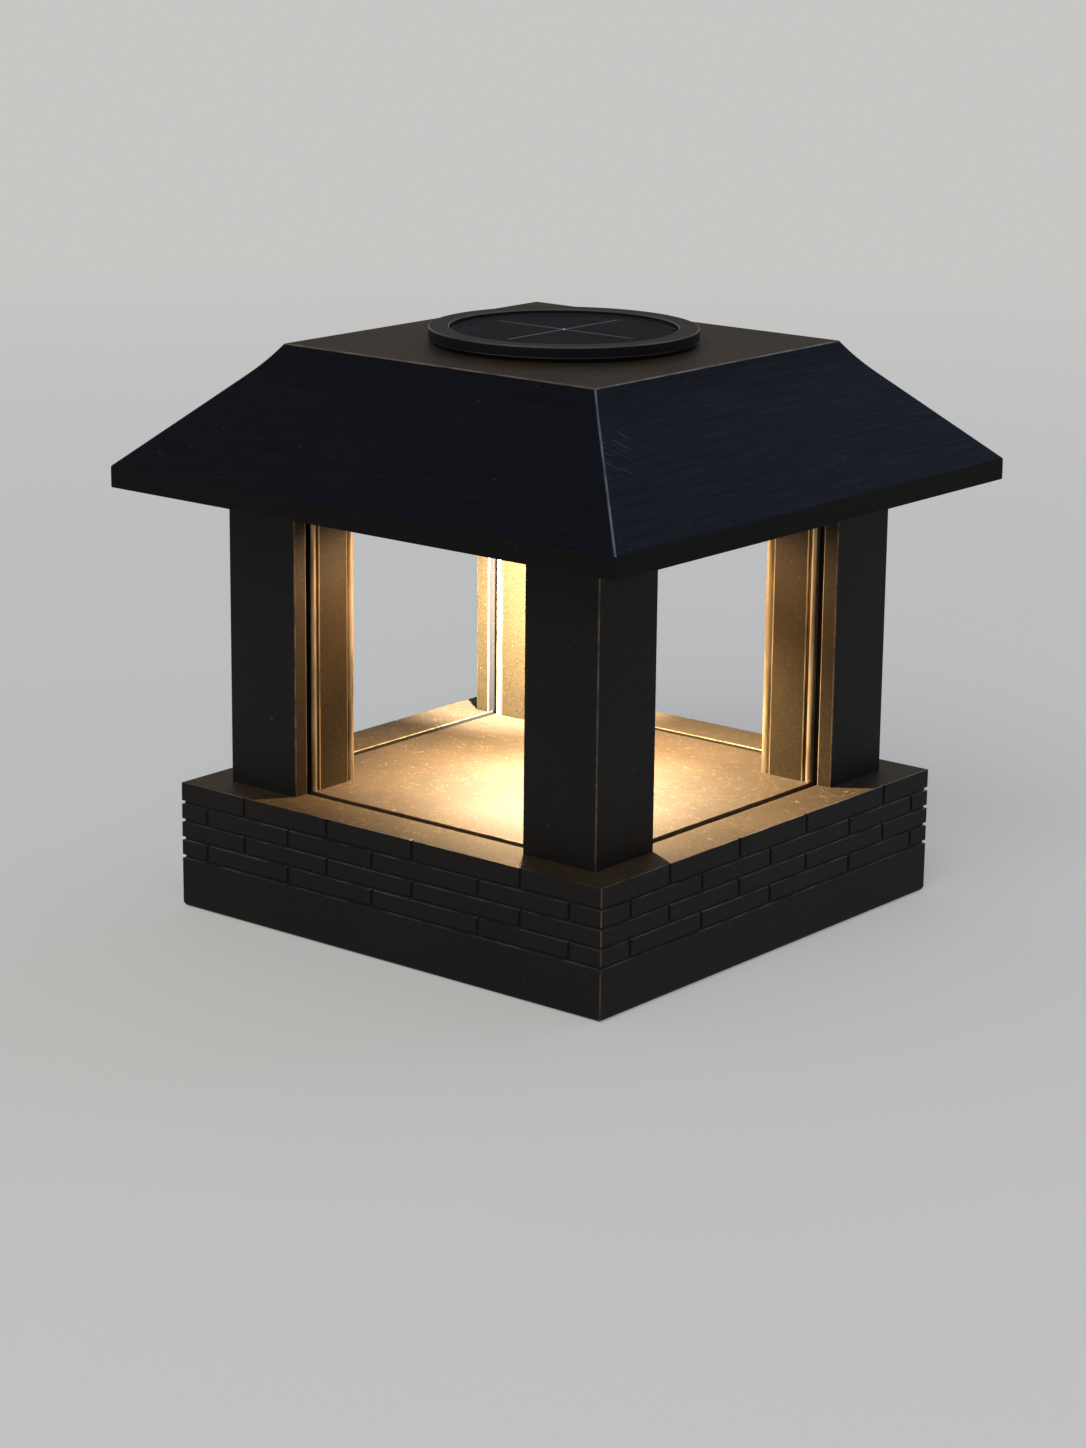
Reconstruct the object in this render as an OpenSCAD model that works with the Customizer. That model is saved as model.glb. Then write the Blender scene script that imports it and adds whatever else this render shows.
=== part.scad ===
// Deck post cap light: a lantern cap for a square post, with a round solar light module
// that lifts out of the roof. Millimetres, +Z up, origin at the middle of the collar's foot.
// The front is -Y and the right-hand side is +X.

/* [Post and collar] */
// Width of the square post that the cap fits over
post_w = 127; // [122:0.5:132]
// Gap between the post and the collar wall, on each side
post_gap = 0.8; // [0.6:0.1:1.4]
// Thickness of the collar wall
collar_wall = 3.6; // [2.6:0.1:4.6]
// Height of the collar
collar_h = 32.6; // [29:0.2:40]
// Thickness of the collar's top web, which rests on the post
web_t = 3.6; // [3:0.1:5]
// Chamfer round the foot of the collar
foot_chamfer = 0.9; // [0.4:0.1:1.6]
// How far each crush rib stands out from the socket wall
rib_h = 0.5; // [0.2:0.1:0.6]

/* [Brick pattern] */
// Height of the top course of bricks
top_course_h = 5.2; // [4:0.1:6]
// Height of each other course
course_h = 4.75; // [3.5:0.05:5.5]
// Number of bed joints
bed_joints = 4; // [2:1:5]
// Length of a brick
brick_l = 27.8; // [20:0.2:36]
// How much longer the fourth brick of each course is
long_brick_extra = 6; // [0:0.5:8]
// Width of a mortar joint
mortar_w = 0.8; // [0.5:0.1:1.2]
// Depth of a mortar joint
mortar_d = 0.6; // [0.3:0.1:0.9]

/* [Deck] */
// Thickness of the deck plate inside the rim
deck_t = 2; // [1.4:0.1:3]
// Distance from a pillar's outer face to the middle of the glazing groove
glazing_setback = 5.4; // [4.6:0.1:6.4]
// Width of the glazing groove and of the channel round the deck plate
glazing_w = 2.4; // [1.6:0.1:3]

/* [Pillars] */
// Width of a square pillar
pillar_w = 22.1; // [20:0.1:25]
// Height of a pillar
pillar_h = 78; // [60:0.5:110]
// How far the pillars' outer faces stand in from the collar's face
pillar_inset = 9.1; // [7:0.1:12]
// Thickness of a pillar's walls
pillar_wall = 2; // [1.4:0.1:2.6]
// Depth of the glazing groove in a pillar
glazing_d = 2; // [1.2:0.1:2.6]
// Width of the bead beside the glazing groove
bead_w = 1.6; // [1:0.1:2.2]
// Width of the small quirks that set off the beads
quirk_w = 0.6; // [0.4:0.05:0.9]
// Depth of the quirks
quirk_d = 0.8; // [0.4:0.05:1.2]
// Radius of the bead on the inner corner
corner_bead_r = 1.1; // [0.8:0.1:1.4]

/* [Roof] */
// How far the eaves stand out past the pillars
eave_overhang = 20.5; // [17:0.5:30]
// How far the fascia hangs below the ceiling
eave_lip = 2; // [1:0.1:4]
// Height of the upright fascia
fascia_h = 5.4; // [4.6:0.1:9]
// Height from the top of the fascia to the flat top
roof_rise = 30.2; // [28:0.2:38]
// Width of the flat square top
plateau_w = 97.8; // [88:0.2:104]
// Pitch of the lower, straight part of the slopes
roof_pitch = 43.4; // [40:0.2:46]
// Height of the steeper part below the flat top
flare_h = 7.8; // [6:0.2:10]
// Thickness of the fascia and of the flat top
roof_wall = 2.4; // [1.8:0.1:3]
// Thickness of the sloping walls, measured level
slope_wall = 3.5; // [2.8:0.1:4.5]
// Thickness of the ceiling panel
ceiling_t = 2.4; // [2:0.1:3.4]
// Distance from the eaves to each roof screw
roof_screw_inset = 13.3; // [12.5:0.1:14.5]

/* [Solar light module] */
// How far the module's flange stands out past its body
flange_overhang = 3; // [2.6:0.1:8]
// Thickness of the flange
flange_t = 2.9; // [2.5:0.1:4]
// Width of the flat ring between the flange's edge and the cell recess
flange_ring_w = 5.2; // [4:0.1:7]
// Depth of the module below the roof's flat top
module_depth = 36; // [36:0.5:46]
// Thickness of the module's wall
module_wall = 1.6; // [1.2:0.1:1.8]
// Gap between the module and the holes that it passes through
well_gap = 0.3; // [0.2:0.05:0.6]
// Thickness of the gasket under the flange
gasket_t = 1; // [0.6:0.1:1.6]
// Width of the gasket ring
gasket_w = 1.7; // [1:0.1:2]
// How far the cell cover lies below the ring
cover_drop = 0.8; // [0.2:0.1:1.1]
// Thickness of the cell cover
cover_t = 1.2; // [0.8:0.1:1.6]
// Thickness of the solar cell
cell_t = 0.6; // [0.3:0.1:1]
// Thickness of the module's base plate
base_t = 2.6; // [2.4:0.1:3.2]
// Radius of the lens where it shows
lens_r = 7.6; // [6:0.1:7.8]
// How far the lens bulges below the module
lens_bulge = 2.4; // [1:0.1:4]
// Place of the lens in front of the module's middle
lens_y = -6.6; // [-7.4:0.1:-6.4]

/* [Battery] */
// Length of the round battery
battery_l = 44.5; // [42:0.5:45]
// Radius of the round battery
battery_r = 5.25; // [4.8:0.05:5.3]
// Gap between the corners of the battery contacts and the module's wall
battery_corner_gap = 1.05; // [0.9:0.05:2]
// Place of the battery behind the module's middle
battery_y = 10; // [9.8:0.1:10.6]
// Thickness of the battery door
door_t = 1.6; // [1.2:0.1:1.8]
// Gap round the battery door
door_gap = 0.2; // [0.15:0.05:0.35]
// Radius of the door's hinge barrel
barrel_r = 1.1; // [0.9:0.05:1.15]
// Radius of the pegs on the ends of the barrel
peg_r = 0.7; // [0.5:0.05:0.8]

/* [Switch and board] */
// Thickness of the circuit board
board_t = 1.6; // [1:0.1:2]
// Height of the circuit board above the base plate
board_lift = 4.2; // [3.8:0.1:5]
// Travel of the switch slider
switch_travel = 2.5; // [1.5:0.1:3]
// Place of the switch in front of the module's middle
switch_y = -22.6; // [-23:0.1:-22]
// Radius of the insulated leads
lead_r = 0.6; // [0.4:0.05:0.8]

/* [Screws] */
// Radius of the frame screws' shanks
screw_r = 1.6; // [1.2:0.05:2]
// Radius of the frame screws' pan heads
screw_head_r = 3.2; // [2.8:0.05:3.4]
// Height of the frame screws' pan heads
screw_head_h = 2; // [1.6:0.1:2.2]
// Radius of the module screws' shanks
small_screw_r = 1.1; // [0.8:0.05:1.3]
// Radius of the module screws' heads
small_head_r = 2.2; // [1.9:0.05:2.3]
// Height of the module screws' heads
small_head_h = 1.2; // [0.8:0.1:1.4]

/* [Hidden] */
$fn = 96;

// Finishes
bronze_black = [0.085, 0.075, 0.07];
cell_blue = [0.03, 0.035, 0.06];
board_green = [0.05, 0.3, 0.15];
steel_grey = [0.6, 0.6, 0.62];

// Clearances
cut = 1;               // how far a cutting solid runs past a face
shank_gap = 0.05;      // between a screw's shank and the hole that it threads into
clear_gap = 0.25;      // between a screw's shank and a hole that it passes through
head_gap = 0.3;        // between a screw's head and its counterbore
pin_gap = 0.06;        // between a hinge peg and its bore
part_gap = 0.3;        // between loose neighbours

// Collar
socket_half = post_w / 2 + post_gap;
collar_half = socket_half + collar_wall;
collar_w = 2 * collar_half;
recess_z = collar_h - deck_t;
socket_h = recess_z - web_t;
rib_foot_z = 6;
rib_w = 1.2;
rib_reach = collar_half * 0.5;
least_brick = 3;

// Pillars, deck and glazing channel
pillar_out = collar_half - pillar_inset;
pillar_mid = pillar_out - pillar_w / 2;
glazing_line = pillar_out - glazing_setback;
recess_half = glazing_line + glazing_w / 2;
deck_half = glazing_line - glazing_w / 2;
soffit_z = collar_h + pillar_h;
pillar_screw_bite = 14;
port_wall = 1.9;
port_web = 1.6;

// Roof
eave_half = pillar_out + eave_overhang;
eave_z = soffit_z - eave_lip;
slope_z = eave_z + fascia_h;
roof_z = slope_z + roof_rise;
ceiling_z = soffit_z + ceiling_t;
ceiling_half = eave_half - roof_wall - part_gap;
roof_screw_at = eave_half - roof_screw_inset;
roof_boss_r = screw_r + 2;
roof_screw_l = 8;
flare_r0 = eave_half - (roof_rise - flare_h) / tan(roof_pitch);
flare_run = flare_r0 - plateau_w / 2;
flare_turn = 2 * (atan2(flare_h, flare_run) - roof_pitch);
flare_radius = norm([flare_run, flare_h]) / (2 * sin(flare_turn / 2));
flare_steps = 6;

// Battery contacts
spring_l = 2.2;
wire_r = 0.25;
contact_t = 0.4;
contact_w = 5.6;
contact_h = 7;
spring_face_x = -battery_l / 2 - spring_l;
plate_face_x = battery_l / 2;

// Module: its body goes round the far corner of the spring contact
contact_corner = norm([contact_t - spring_face_x, battery_y + contact_w / 2]);
inside_r = contact_corner + battery_corner_gap;
module_r = inside_r + module_wall;
flange_r = module_r + flange_overhang;
well_r = module_r + well_gap;
flange_z = roof_z + gasket_t;
module_top_z = flange_z + flange_t;
cell_recess_r = flange_r - flange_ring_w;
cover_top_z = module_top_z - cover_drop;
cover_z = cover_top_z - cover_t;
cell_z = cover_z - cell_t;
cell_gap = 0.2;
cover_r = cell_recess_r - cell_gap;
cell_r = cell_recess_r - 2 * cell_gap;
housing_web_t = 1.6;
base_z = roof_z - module_depth;
floor_z = base_z + base_t;
board_z = floor_z + board_lift;
board_top_z = board_z + board_t;
fit_r = inside_r - part_gap;

// Bosses, and the posts that carry the board
boss_r = small_screw_r + 1.5;
boss_sink = 0.5;        // how far a boss runs into the housing's wall
boss_at = inside_r - boss_r + boss_sink;
boss_angles = [90, 210, 330];
module_screw_l = 9;
module_pilot_depth = 12;
board_post_r = 2.2;
board_screw_r = 0.8;
board_head_r = 1.7;
board_head_h = 1;
board_screw_l = 4.6;

// Lens and light source
lens_flange_r = lens_r + 1.2;
lens_flange_t = 0.8;
led_w = 5;
led_t = 1.4;
board_post_x = lens_flange_r + board_post_r + 3.6;
board_post_y = lens_y - lens_flange_r - 1.4;
board_posts = [[-board_post_x, board_post_y], [board_post_x, board_post_y]];
reflector_throat = led_w * 0.72;
reflector_wall = 0.9;

// Battery compartment
nub_l = 0.8;
nub_r = 1.9;
tray_gap = 0.6;
tray_wall = 1.2;
tray_h = 8.4;
tray_half = battery_r + tray_gap;
door_half = tray_half - part_gap;
hinge_x = -battery_l / 2 - 1.75;
hinge_z = base_z + barrel_r;
door_end_x = battery_l / 2 + 0.75;
peg_l = 0.9;
battery_z = base_z + door_t + part_gap + battery_r;
contact_z = floor_z + part_gap;
contact_top_z = contact_z + contact_h;

// Switch
switch_body_w = 9;
switch_body_d = 4.6;
slider_w = 3.6;
slider_d = 2.2;
slider_gap = 0.2;
slider_head_out = 1.1;
slot_w = slider_w + switch_travel + 2 * slider_gap;
slot_d = slider_d + 2 * slider_gap;
slider_top_z = board_z - 1.2;

// Leads and the parts on the board
lead_spread = 4;
lead_y = lens_y - 7.4;
lead_bow = 3;
lead_tail = 0.4;        // straight piece at the end of a lead
lead_foot_x = battery_l / 2 - 2.25;
lead_foot_y = battery_y - tray_half - tray_wall - 3;
chip_x = 6;
coil_x = -7;
board_parts_y = lens_y - 2;

// Outline of a square solid: half a section in width and height, mirrored to both sides
function both_sides(half) = concat(half, [for (i = [len(half) - 1:-1:0]) [-half[i][0], half[i][1]]]);

// Solid with a square plan and the given half section on all four sides
module square_solid(half) {
    reach = 2 * half[0][0] + 20;
    intersection() {
        rotate([90, 0, 0])
            linear_extrude(reach, center = true)
                polygon(both_sides(half));
        rotate([90, 0, 90])
            linear_extrude(reach, center = true)
                polygon(both_sides(half));
    }
}

// Square plate, centred, between two heights
module square_plate(half, z0, z1) {
    translate([-half, -half, z0])
        cube([2 * half, 2 * half, z1 - z0]);
}

// Upright cylinder between two heights
module post(r, z0, z1) {
    translate([0, 0, z0])
        cylinder(r = r, h = z1 - z0);
}

// Upright ring between two heights
module ring(r_in, r_out, z0, z1) {
    difference() {
        post(r_out, z0, z1);
        post(r_in, z0 - cut, z1 + cut);
    }
}

// Puts its children at the four corners of a square
module at_corners(distance) {
    for (sx = [-1, 1], sy = [-1, 1])
        translate([sx * distance, sy * distance, 0])
            children();
}

// Puts its children at the three module bosses
module at_bosses() {
    for (a = boss_angles)
        rotate([0, 0, a])
            translate([boss_at, 0, 0])
                children();
}

// Pan-head screw pointing up: the head's seat is at z = 0, with a cross recess in the head
module pan_screw(shank_r, head_r, head_h, length) {
    slot = head_r * 0.24;
    difference() {
        union() {
            cylinder(r = shank_r, h = length, $fn = 32);
            translate([0, 0, -head_h])
                rotate_extrude($fn = 48)
                    polygon([
                        [0, 0], [head_r * 0.72, 0], [head_r * 0.93, head_h * 0.22],
                        [head_r, head_h * 0.55], [head_r, head_h], [0, head_h]
                    ]);
        }
        for (a = [0, 90])
            rotate([0, 0, a])
                translate([-head_r * 0.5, -slot / 2, -head_h - cut])
                    cube([head_r, slot, cut + head_h * 0.5]);
    }
}

// Tube swept along points that lie in one upright or level plane with the given normal
function tangent(p, i) =
    let (a = p[max(i - 1, 0)], b = p[min(i + 1, len(p) - 1)])
    (b - a) / norm(b - a);
module swept_tube(p, normal, r, sides) {
    n = len(p);
    rings = [
        for (i = [0:n - 1])
            let (t = tangent(p, i), u = cross(t, normal), v = normal)
            for (k = [0:sides - 1])
                p[i] + r * (cos(360 * k / sides) * u + sin(360 * k / sides) * v)
    ];
    walls = [
        for (i = [0:n - 2], k = [0:sides - 1])
            let (k2 = (k + 1) % sides, a = i * sides + k, b = i * sides + k2)
            each [[a, b, b + sides], [a, b + sides, a + sides]]
    ];
    first_cap = [for (k = [1:sides - 2]) [0, k + 1, k]];
    last = (n - 1) * sides;
    last_cap = [for (k = [1:sides - 2]) [last, last + k, last + k + 1]];
    polyhedron(points = rings, faces = concat(walls, first_cap, last_cap));
}

// Points on an arch: straight up from one foot, over a half ellipse, and down to the other
function arch(from, to, rise, steps) = [
    for (i = [0:steps])
        let (s = i / steps, turn = 180 * s, level = (1 - cos(turn)) / 2)
        from + level * (to - from) + [0, 0, rise * sin(turn)]
];

// Places of the upright mortar joints in one course, from a face's left-hand corner
function brick_ends(first) = [
    for (n = [0:1:floor((collar_w - first) / brick_l)])
        let (x = first + n * brick_l + (n > 2 ? long_brick_extra : 0))
        if (x < collar_w - least_brick) x
];

// Height of the top and the bottom of a course, counted from the top
function course_top(k) = k == 0 ? collar_h : collar_h - top_course_h - (k - 1) * course_h;
function course_foot(k) = collar_h - top_course_h - k * course_h;

// Mortar joints of the front face
module mortar(odd_first, even_first) {
    translate([-collar_half, -collar_half - cut, 0]) {
        for (k = [0:bed_joints - 1])
            translate([0, 0, course_foot(k) - mortar_w / 2])
                cube([collar_w, cut + mortar_d, mortar_w]);
        for (k = [0:bed_joints - 1])
            for (x = brick_ends(k % 2 == 0 ? odd_first : even_first))
                translate([x - mortar_w / 2, 0, course_foot(k)])
                    cube([mortar_w, cut + mortar_d, course_top(k) - course_foot(k) + (k == 0 ? cut : 0)]);
    }
}

module base_collar() {
    odd_front = 22;
    even_front = 9;
    odd_right = 26;
    even_right = 11;
    color(bronze_black)
        difference() {
            union() {
                difference() {
                    square_solid([
                        [collar_half - foot_chamfer * 0.6, 0], [collar_half, foot_chamfer],
                        [collar_half, collar_h]
                    ]);
                    square_plate(socket_half, -cut, socket_h);
                }
                for (a = [0:90:270], side = [-1, 1])
                    rotate([0, 0, a])
                        translate([side * rib_reach - rib_w / 2, -socket_half - cut, rib_foot_z])
                            cube([rib_w, cut + rib_h, socket_h - rib_foot_z + cut]);
            }
            square_plate(recess_half, recess_z, collar_h + cut);
            for (a = [0, 180])
                rotate([0, 0, a])
                    mortar(odd_front, even_front);
            for (a = [90, 270])
                rotate([0, 0, a])
                    mortar(odd_right, even_right);
            at_corners(pillar_mid) {
                post(screw_r + clear_gap, socket_h - cut, collar_h + cut);
                post(screw_head_r + head_gap, socket_h - cut, socket_h + screw_head_h);
            }
        }
}

module deck_plate() {
    color(bronze_black)
        difference() {
            square_plate(deck_half, recess_z, collar_h);
            at_corners(pillar_mid)
                post(screw_r + clear_gap, recess_z - cut, collar_h + cut);
        }
}

// Points of a half circle that bulges along +X from [x, y0] to [x, y1]
function bead(x, y0, y1, steps) = [
    for (i = [0:steps])
        let (a = -90 + 180 * i / steps, r = (y1 - y0) / 2)
        [x + r * cos(a), (y0 + y1) / 2 + r * sin(a)]
];

// One inner face of a pillar, from the outer arris to the bead on the inner corner
glazing_near = glazing_setback - glazing_w / 2;
glazing_far = glazing_setback + glazing_w / 2;
bead_far = glazing_far + bead_w;
corner_quirk = pillar_w - 2 * corner_bead_r - quirk_w;
jamb = concat(
    [
        [pillar_w, 0], [pillar_w, glazing_near], [pillar_w - glazing_d, glazing_near],
        [pillar_w - glazing_d, glazing_far]
    ],
    bead(pillar_w - bead_w / 2, glazing_far, bead_far, 8),
    [
        [pillar_w - quirk_d, bead_far], [pillar_w - quirk_d, bead_far + quirk_w],
        [pillar_w, bead_far + quirk_w], [pillar_w, corner_quirk],
        [pillar_w - quirk_d, corner_quirk], [pillar_w - quirk_d, corner_quirk + quirk_w]
    ]
);
corner_bead = [
    for (a = [-45:15:135])
        let (m = pillar_w - corner_bead_r)
        [m + corner_bead_r * cos(a), m + corner_bead_r * sin(a)]
];

// Plan of a pillar, from its outer corner at the origin
pillar_plan = concat(
    [[0, 0]],
    jamb,
    corner_bead,
    [for (i = [len(jamb) - 1:-1:0]) [jamb[i][1], jamb[i][0]]]
);

// Hollow of a pillar, around the screw port and its two webs
module pillar_hollow() {
    hollow_w = pillar_w - glazing_d - 2 * pillar_wall;
    tall = pillar_h + 2 * cut;
    difference() {
        translate([pillar_wall, pillar_wall, -cut])
            cube([hollow_w, hollow_w, tall]);
        translate([pillar_w / 2, pillar_w / 2, -cut])
            cylinder(r = screw_r + port_wall, h = tall);
        translate([0, pillar_w / 2 - port_web / 2, -cut])
            cube([pillar_w, port_web, tall]);
        translate([pillar_w / 2 - port_web / 2, 0, -cut])
            cube([port_web, pillar_w, tall]);
    }
}

// Pillar of the back right corner, turned by quarter turns to the others
module pillar(turn) {
    color(bronze_black)
        rotate([0, 0, turn])
            translate([pillar_out, pillar_out, collar_h])
                rotate([0, 0, 180])
                    difference() {
                        linear_extrude(pillar_h)
                            polygon(pillar_plan);
                        pillar_hollow();
                        translate([pillar_w / 2, pillar_w / 2, -cut])
                            cylinder(r = screw_r + shank_gap, h = pillar_h + 2 * cut);
                    }
}

module pillar_back_right() {
    pillar(0);
}

module pillar_back_left() {
    pillar(90);
}

module pillar_front_left() {
    pillar(180);
}

module pillar_front_right() {
    pillar(270);
}

module pillar_bottom_screws() {
    seat_z = socket_h + screw_head_h;
    color(steel_grey)
        at_corners(pillar_mid)
            translate([0, 0, seat_z])
                pan_screw(screw_r, screw_head_r, screw_head_h, collar_h + pillar_screw_bite - seat_z);
}

module pillar_top_screws() {
    color(steel_grey)
        at_corners(pillar_mid)
            translate([0, 0, ceiling_z])
                mirror([0, 0, 1])
                    pan_screw(screw_r, screw_head_r, screw_head_h, ceiling_t + pillar_screw_bite);
}

module ceiling_panel() {
    guide_w = 2.4;
    guide_h = 6;
    color(bronze_black)
        difference() {
            union() {
                square_plate(ceiling_half, soffit_z, ceiling_z);
                post(well_r + guide_w, soffit_z, ceiling_z + guide_h);
            }
            post(well_r, soffit_z - cut, ceiling_z + guide_h + cut);
            at_corners(pillar_mid)
                post(screw_r + clear_gap, soffit_z - cut, ceiling_z + cut);
            at_corners(roof_screw_at)
                post(screw_r + clear_gap, soffit_z - cut, ceiling_z + cut);
        }
}

// Half section of the roof's slope, from the top of the fascia to the flat top
slope_line = [
    for (i = [0:flare_steps])
        let (a = roof_pitch + flare_turn * i / flare_steps, a0 = roof_pitch)
        [
            flare_r0 - flare_radius * (sin(a) - sin(a0)),
            roof_z - flare_h + flare_radius * (cos(a0) - cos(a))
        ]
];
roof_half = concat([[eave_half, eave_z], [eave_half, slope_z]], slope_line);
inner_knee_z = slope_z - (slope_wall - roof_wall) * tan(roof_pitch);
inner_half = concat(
    [[eave_half - roof_wall, eave_z - cut], [eave_half - roof_wall, inner_knee_z]],
    [for (p = slope_line) [p[0] - slope_wall, p[1]]]
);

module roof_shell() {
    color(bronze_black)
        difference() {
            union() {
                difference() {
                    square_solid(roof_half);
                    intersection() {
                        square_solid(inner_half);
                        square_plate(eave_half, eave_z - cut, roof_z - roof_wall);
                    }
                }
                intersection() {
                    square_solid(roof_half);
                    at_corners(roof_screw_at)
                        post(roof_boss_r, ceiling_z, roof_z);
                }
            }
            post(well_r, roof_z - roof_wall - cut, roof_z + cut);
            at_corners(roof_screw_at)
                post(screw_r + shank_gap, ceiling_z - cut, soffit_z + roof_screw_l + 1);
        }
}

module roof_screws() {
    color(steel_grey)
        at_corners(roof_screw_at)
            translate([0, 0, soffit_z])
                pan_screw(screw_r, screw_head_r, screw_head_h, roof_screw_l);
}

module module_gasket() {
    color([0.03, 0.03, 0.03])
        ring(well_r, well_r + gasket_w, roof_z, flange_z);
}

// Space that the battery compartment takes up in the module
module battery_zone(grow) {
    translate([hinge_x - grow, battery_y - tray_half - grow, floor_z])
        cube([door_end_x - hinge_x + 2 * grow, 2 * (tray_half + grow), tray_h]);
}

module module_housing() {
    web_z = cell_z - housing_web_t;
    color([0.05, 0.05, 0.055])
        difference() {
            union() {
                post(flange_r, flange_z, module_top_z);
                ring(inside_r, module_r, floor_z, flange_z + cut);
                post(module_r, web_z, flange_z + cut);
                intersection() {
                    at_bosses()
                        post(boss_r, floor_z, flange_z);
                    post(module_r, floor_z, flange_z);
                }
            }
            post(cell_recess_r, cell_z, module_top_z + cut);
            at_bosses()
                post(small_screw_r + shank_gap, floor_z - cut, floor_z + module_pilot_depth);
            for (x = [-lead_spread, lead_spread])
                translate([x, lead_y, 0])
                    post(lead_r + clear_gap, web_z - cut, cell_z + cut);
        }
}

module solar_cell() {
    color(cell_blue)
        post(cell_r, cell_z, cover_z);
}

module cell_cover() {
    color([0.1, 0.1, 0.13, 0.5])
        post(cover_r, cover_z, cover_top_z);
}

// Door opening in the base plate, with the trough for the hinge barrel
module door_opening() {
    translate([hinge_x, battery_y - tray_half, base_z - cut])
        cube([door_end_x - hinge_x, 2 * tray_half, base_t + 2 * cut]);
    translate([hinge_x, battery_y, hinge_z])
        rotate([90, 0, 0])
            cylinder(r = barrel_r + door_gap, h = 2 * tray_half, center = true);
    translate([hinge_x - barrel_r - door_gap, battery_y - tray_half, base_z - cut])
        cube([barrel_r + door_gap, 2 * tray_half, cut + barrel_r]);
    translate([hinge_x, battery_y, hinge_z])
        rotate([90, 0, 0])
            cylinder(r = peg_r + pin_gap, h = 2 * (tray_half + peg_l), center = true, $fn = 48);
}

module module_base() {
    notch_r = 3.4;
    notch_d = 0.9;
    color([0.06, 0.06, 0.062])
        difference() {
            union() {
                post(module_r, base_z, floor_z);
                intersection() {
                    difference() {
                        battery_zone(tray_wall);
                        translate([0, 0, -cut])
                            battery_zone(0);
                        translate([0, 0, cut])
                            battery_zone(0);
                    }
                    difference() {
                        post(fit_r, floor_z, floor_z + tray_h);
                        translate([-2 * fit_r, battery_y - contact_w / 2 - part_gap, floor_z - cut])
                            cube([4 * fit_r, contact_w + 2 * part_gap, tray_h + 2 * cut]);
                    }
                }
                for (p = board_posts)
                    translate([p[0], p[1], 0])
                        post(board_post_r, floor_z, board_z);
            }
            door_opening();
            translate([door_end_x, battery_y, 0])
                post(notch_r, base_z - cut, base_z + notch_d);
            translate([0, lens_y, 0])
                post(lens_r + part_gap, base_z - cut, floor_z + cut);
            translate([-slot_w / 2 + switch_travel / 2, switch_y - slot_d / 2, base_z - cut])
                cube([slot_w, slot_d, base_t + 2 * cut]);
            at_bosses() {
                post(small_screw_r + clear_gap, base_z - cut, floor_z + cut);
                post(small_head_r + head_gap, base_z - cut, base_z + small_head_h);
            }
            for (p = board_posts)
                translate([p[0], p[1], 0])
                    post(board_screw_r + shank_gap, board_z - board_screw_l, board_z + cut);
        }
}

module module_screws() {
    color(steel_grey)
        at_bosses()
            translate([0, 0, base_z + small_head_h])
                pan_screw(small_screw_r, small_head_r, small_head_h, module_screw_l);
}

// Lens: a flat flange inside the base plate, a plug through it and a shallow dome below
module lens() {
    dome_r = (lens_r * lens_r + lens_bulge * lens_bulge) / (2 * lens_bulge);
    color([1, 0.93, 0.75, 0.8])
        translate([0, lens_y, 0]) {
            post(lens_flange_r, floor_z, floor_z + lens_flange_t);
            post(lens_r, base_z, floor_z + lens_flange_t);
            intersection() {
                translate([0, 0, base_z - lens_bulge + dome_r])
                    sphere(r = dome_r);
                post(lens_r, base_z - lens_bulge - cut, base_z + lens_flange_t);
            }
        }
}

module reflector() {
    foot_z = floor_z + lens_flange_t;
    mouth_r = lens_flange_r - reflector_wall;
    color("silver")
        translate([0, lens_y, 0])
            rotate_extrude()
                polygon([
                    [lens_flange_r, foot_z], [lens_flange_r, board_z],
                    [reflector_throat, board_z], [mouth_r, foot_z]
                ]);
}

module led() {
    color([1, 0.85, 0.4])
        translate([-led_w / 2, lens_y - led_w / 2, board_z - led_t])
            cube([led_w, led_w, led_t]);
}

// Board: cut to the inside of the housing, in front of the battery tray, round the bosses
module circuit_board() {
    color(board_green)
        difference() {
            intersection() {
                post(fit_r, board_z, board_top_z);
                translate([-fit_r, -fit_r, board_z])
                    cube([2 * fit_r, fit_r + battery_y - tray_half - tray_wall - part_gap, board_t]);
            }
            at_bosses()
                post(boss_r + part_gap, board_z - cut, board_top_z + cut);
            for (p = board_posts)
                translate([p[0], p[1], 0])
                    post(board_screw_r + clear_gap, board_z - cut, board_top_z + cut);
        }
}

module board_screws() {
    color(steel_grey)
        for (p = board_posts)
            translate([p[0], p[1], board_top_z])
                mirror([0, 0, 1])
                    pan_screw(board_screw_r, board_head_r, board_head_h, board_screw_l);
}

module driver_chip() {
    chip_l = 5;
    chip_w = 4;
    chip_h = 1.6;
    stand_off = 0.1;
    legs = 4;
    pitch = 1.27;
    leg = [0.4, 1, 0.5];
    color([0.1, 0.1, 0.1])
        translate([chip_x, board_parts_y, board_top_z]) {
            translate([-chip_l / 2, -chip_w / 2, stand_off])
                cube([chip_l, chip_w, chip_h - stand_off]);
            for (side = [-1, 1], i = [0:legs - 1])
                translate([
                    (i - (legs - 1) / 2) * pitch - leg[0] / 2,
                    side * (chip_w / 2 + leg[1] / 2 - stand_off) - leg[1] / 2, 0
                ])
                    cube(leg);
        }
}

module coil() {
    core_r = 2.6;
    core_h = 4;
    rim = 0.8;
    winding_in = 0.6;
    color([0.25, 0.25, 0.27])
        translate([coil_x, board_parts_y, board_top_z])
            rotate_extrude($fn = 48)
                polygon([
                    [0, 0], [core_r, 0], [core_r, rim], [core_r - winding_in, rim],
                    [core_r - winding_in, core_h - rim], [core_r, core_h - rim],
                    [core_r, core_h], [0, core_h]
                ]);
}

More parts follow.
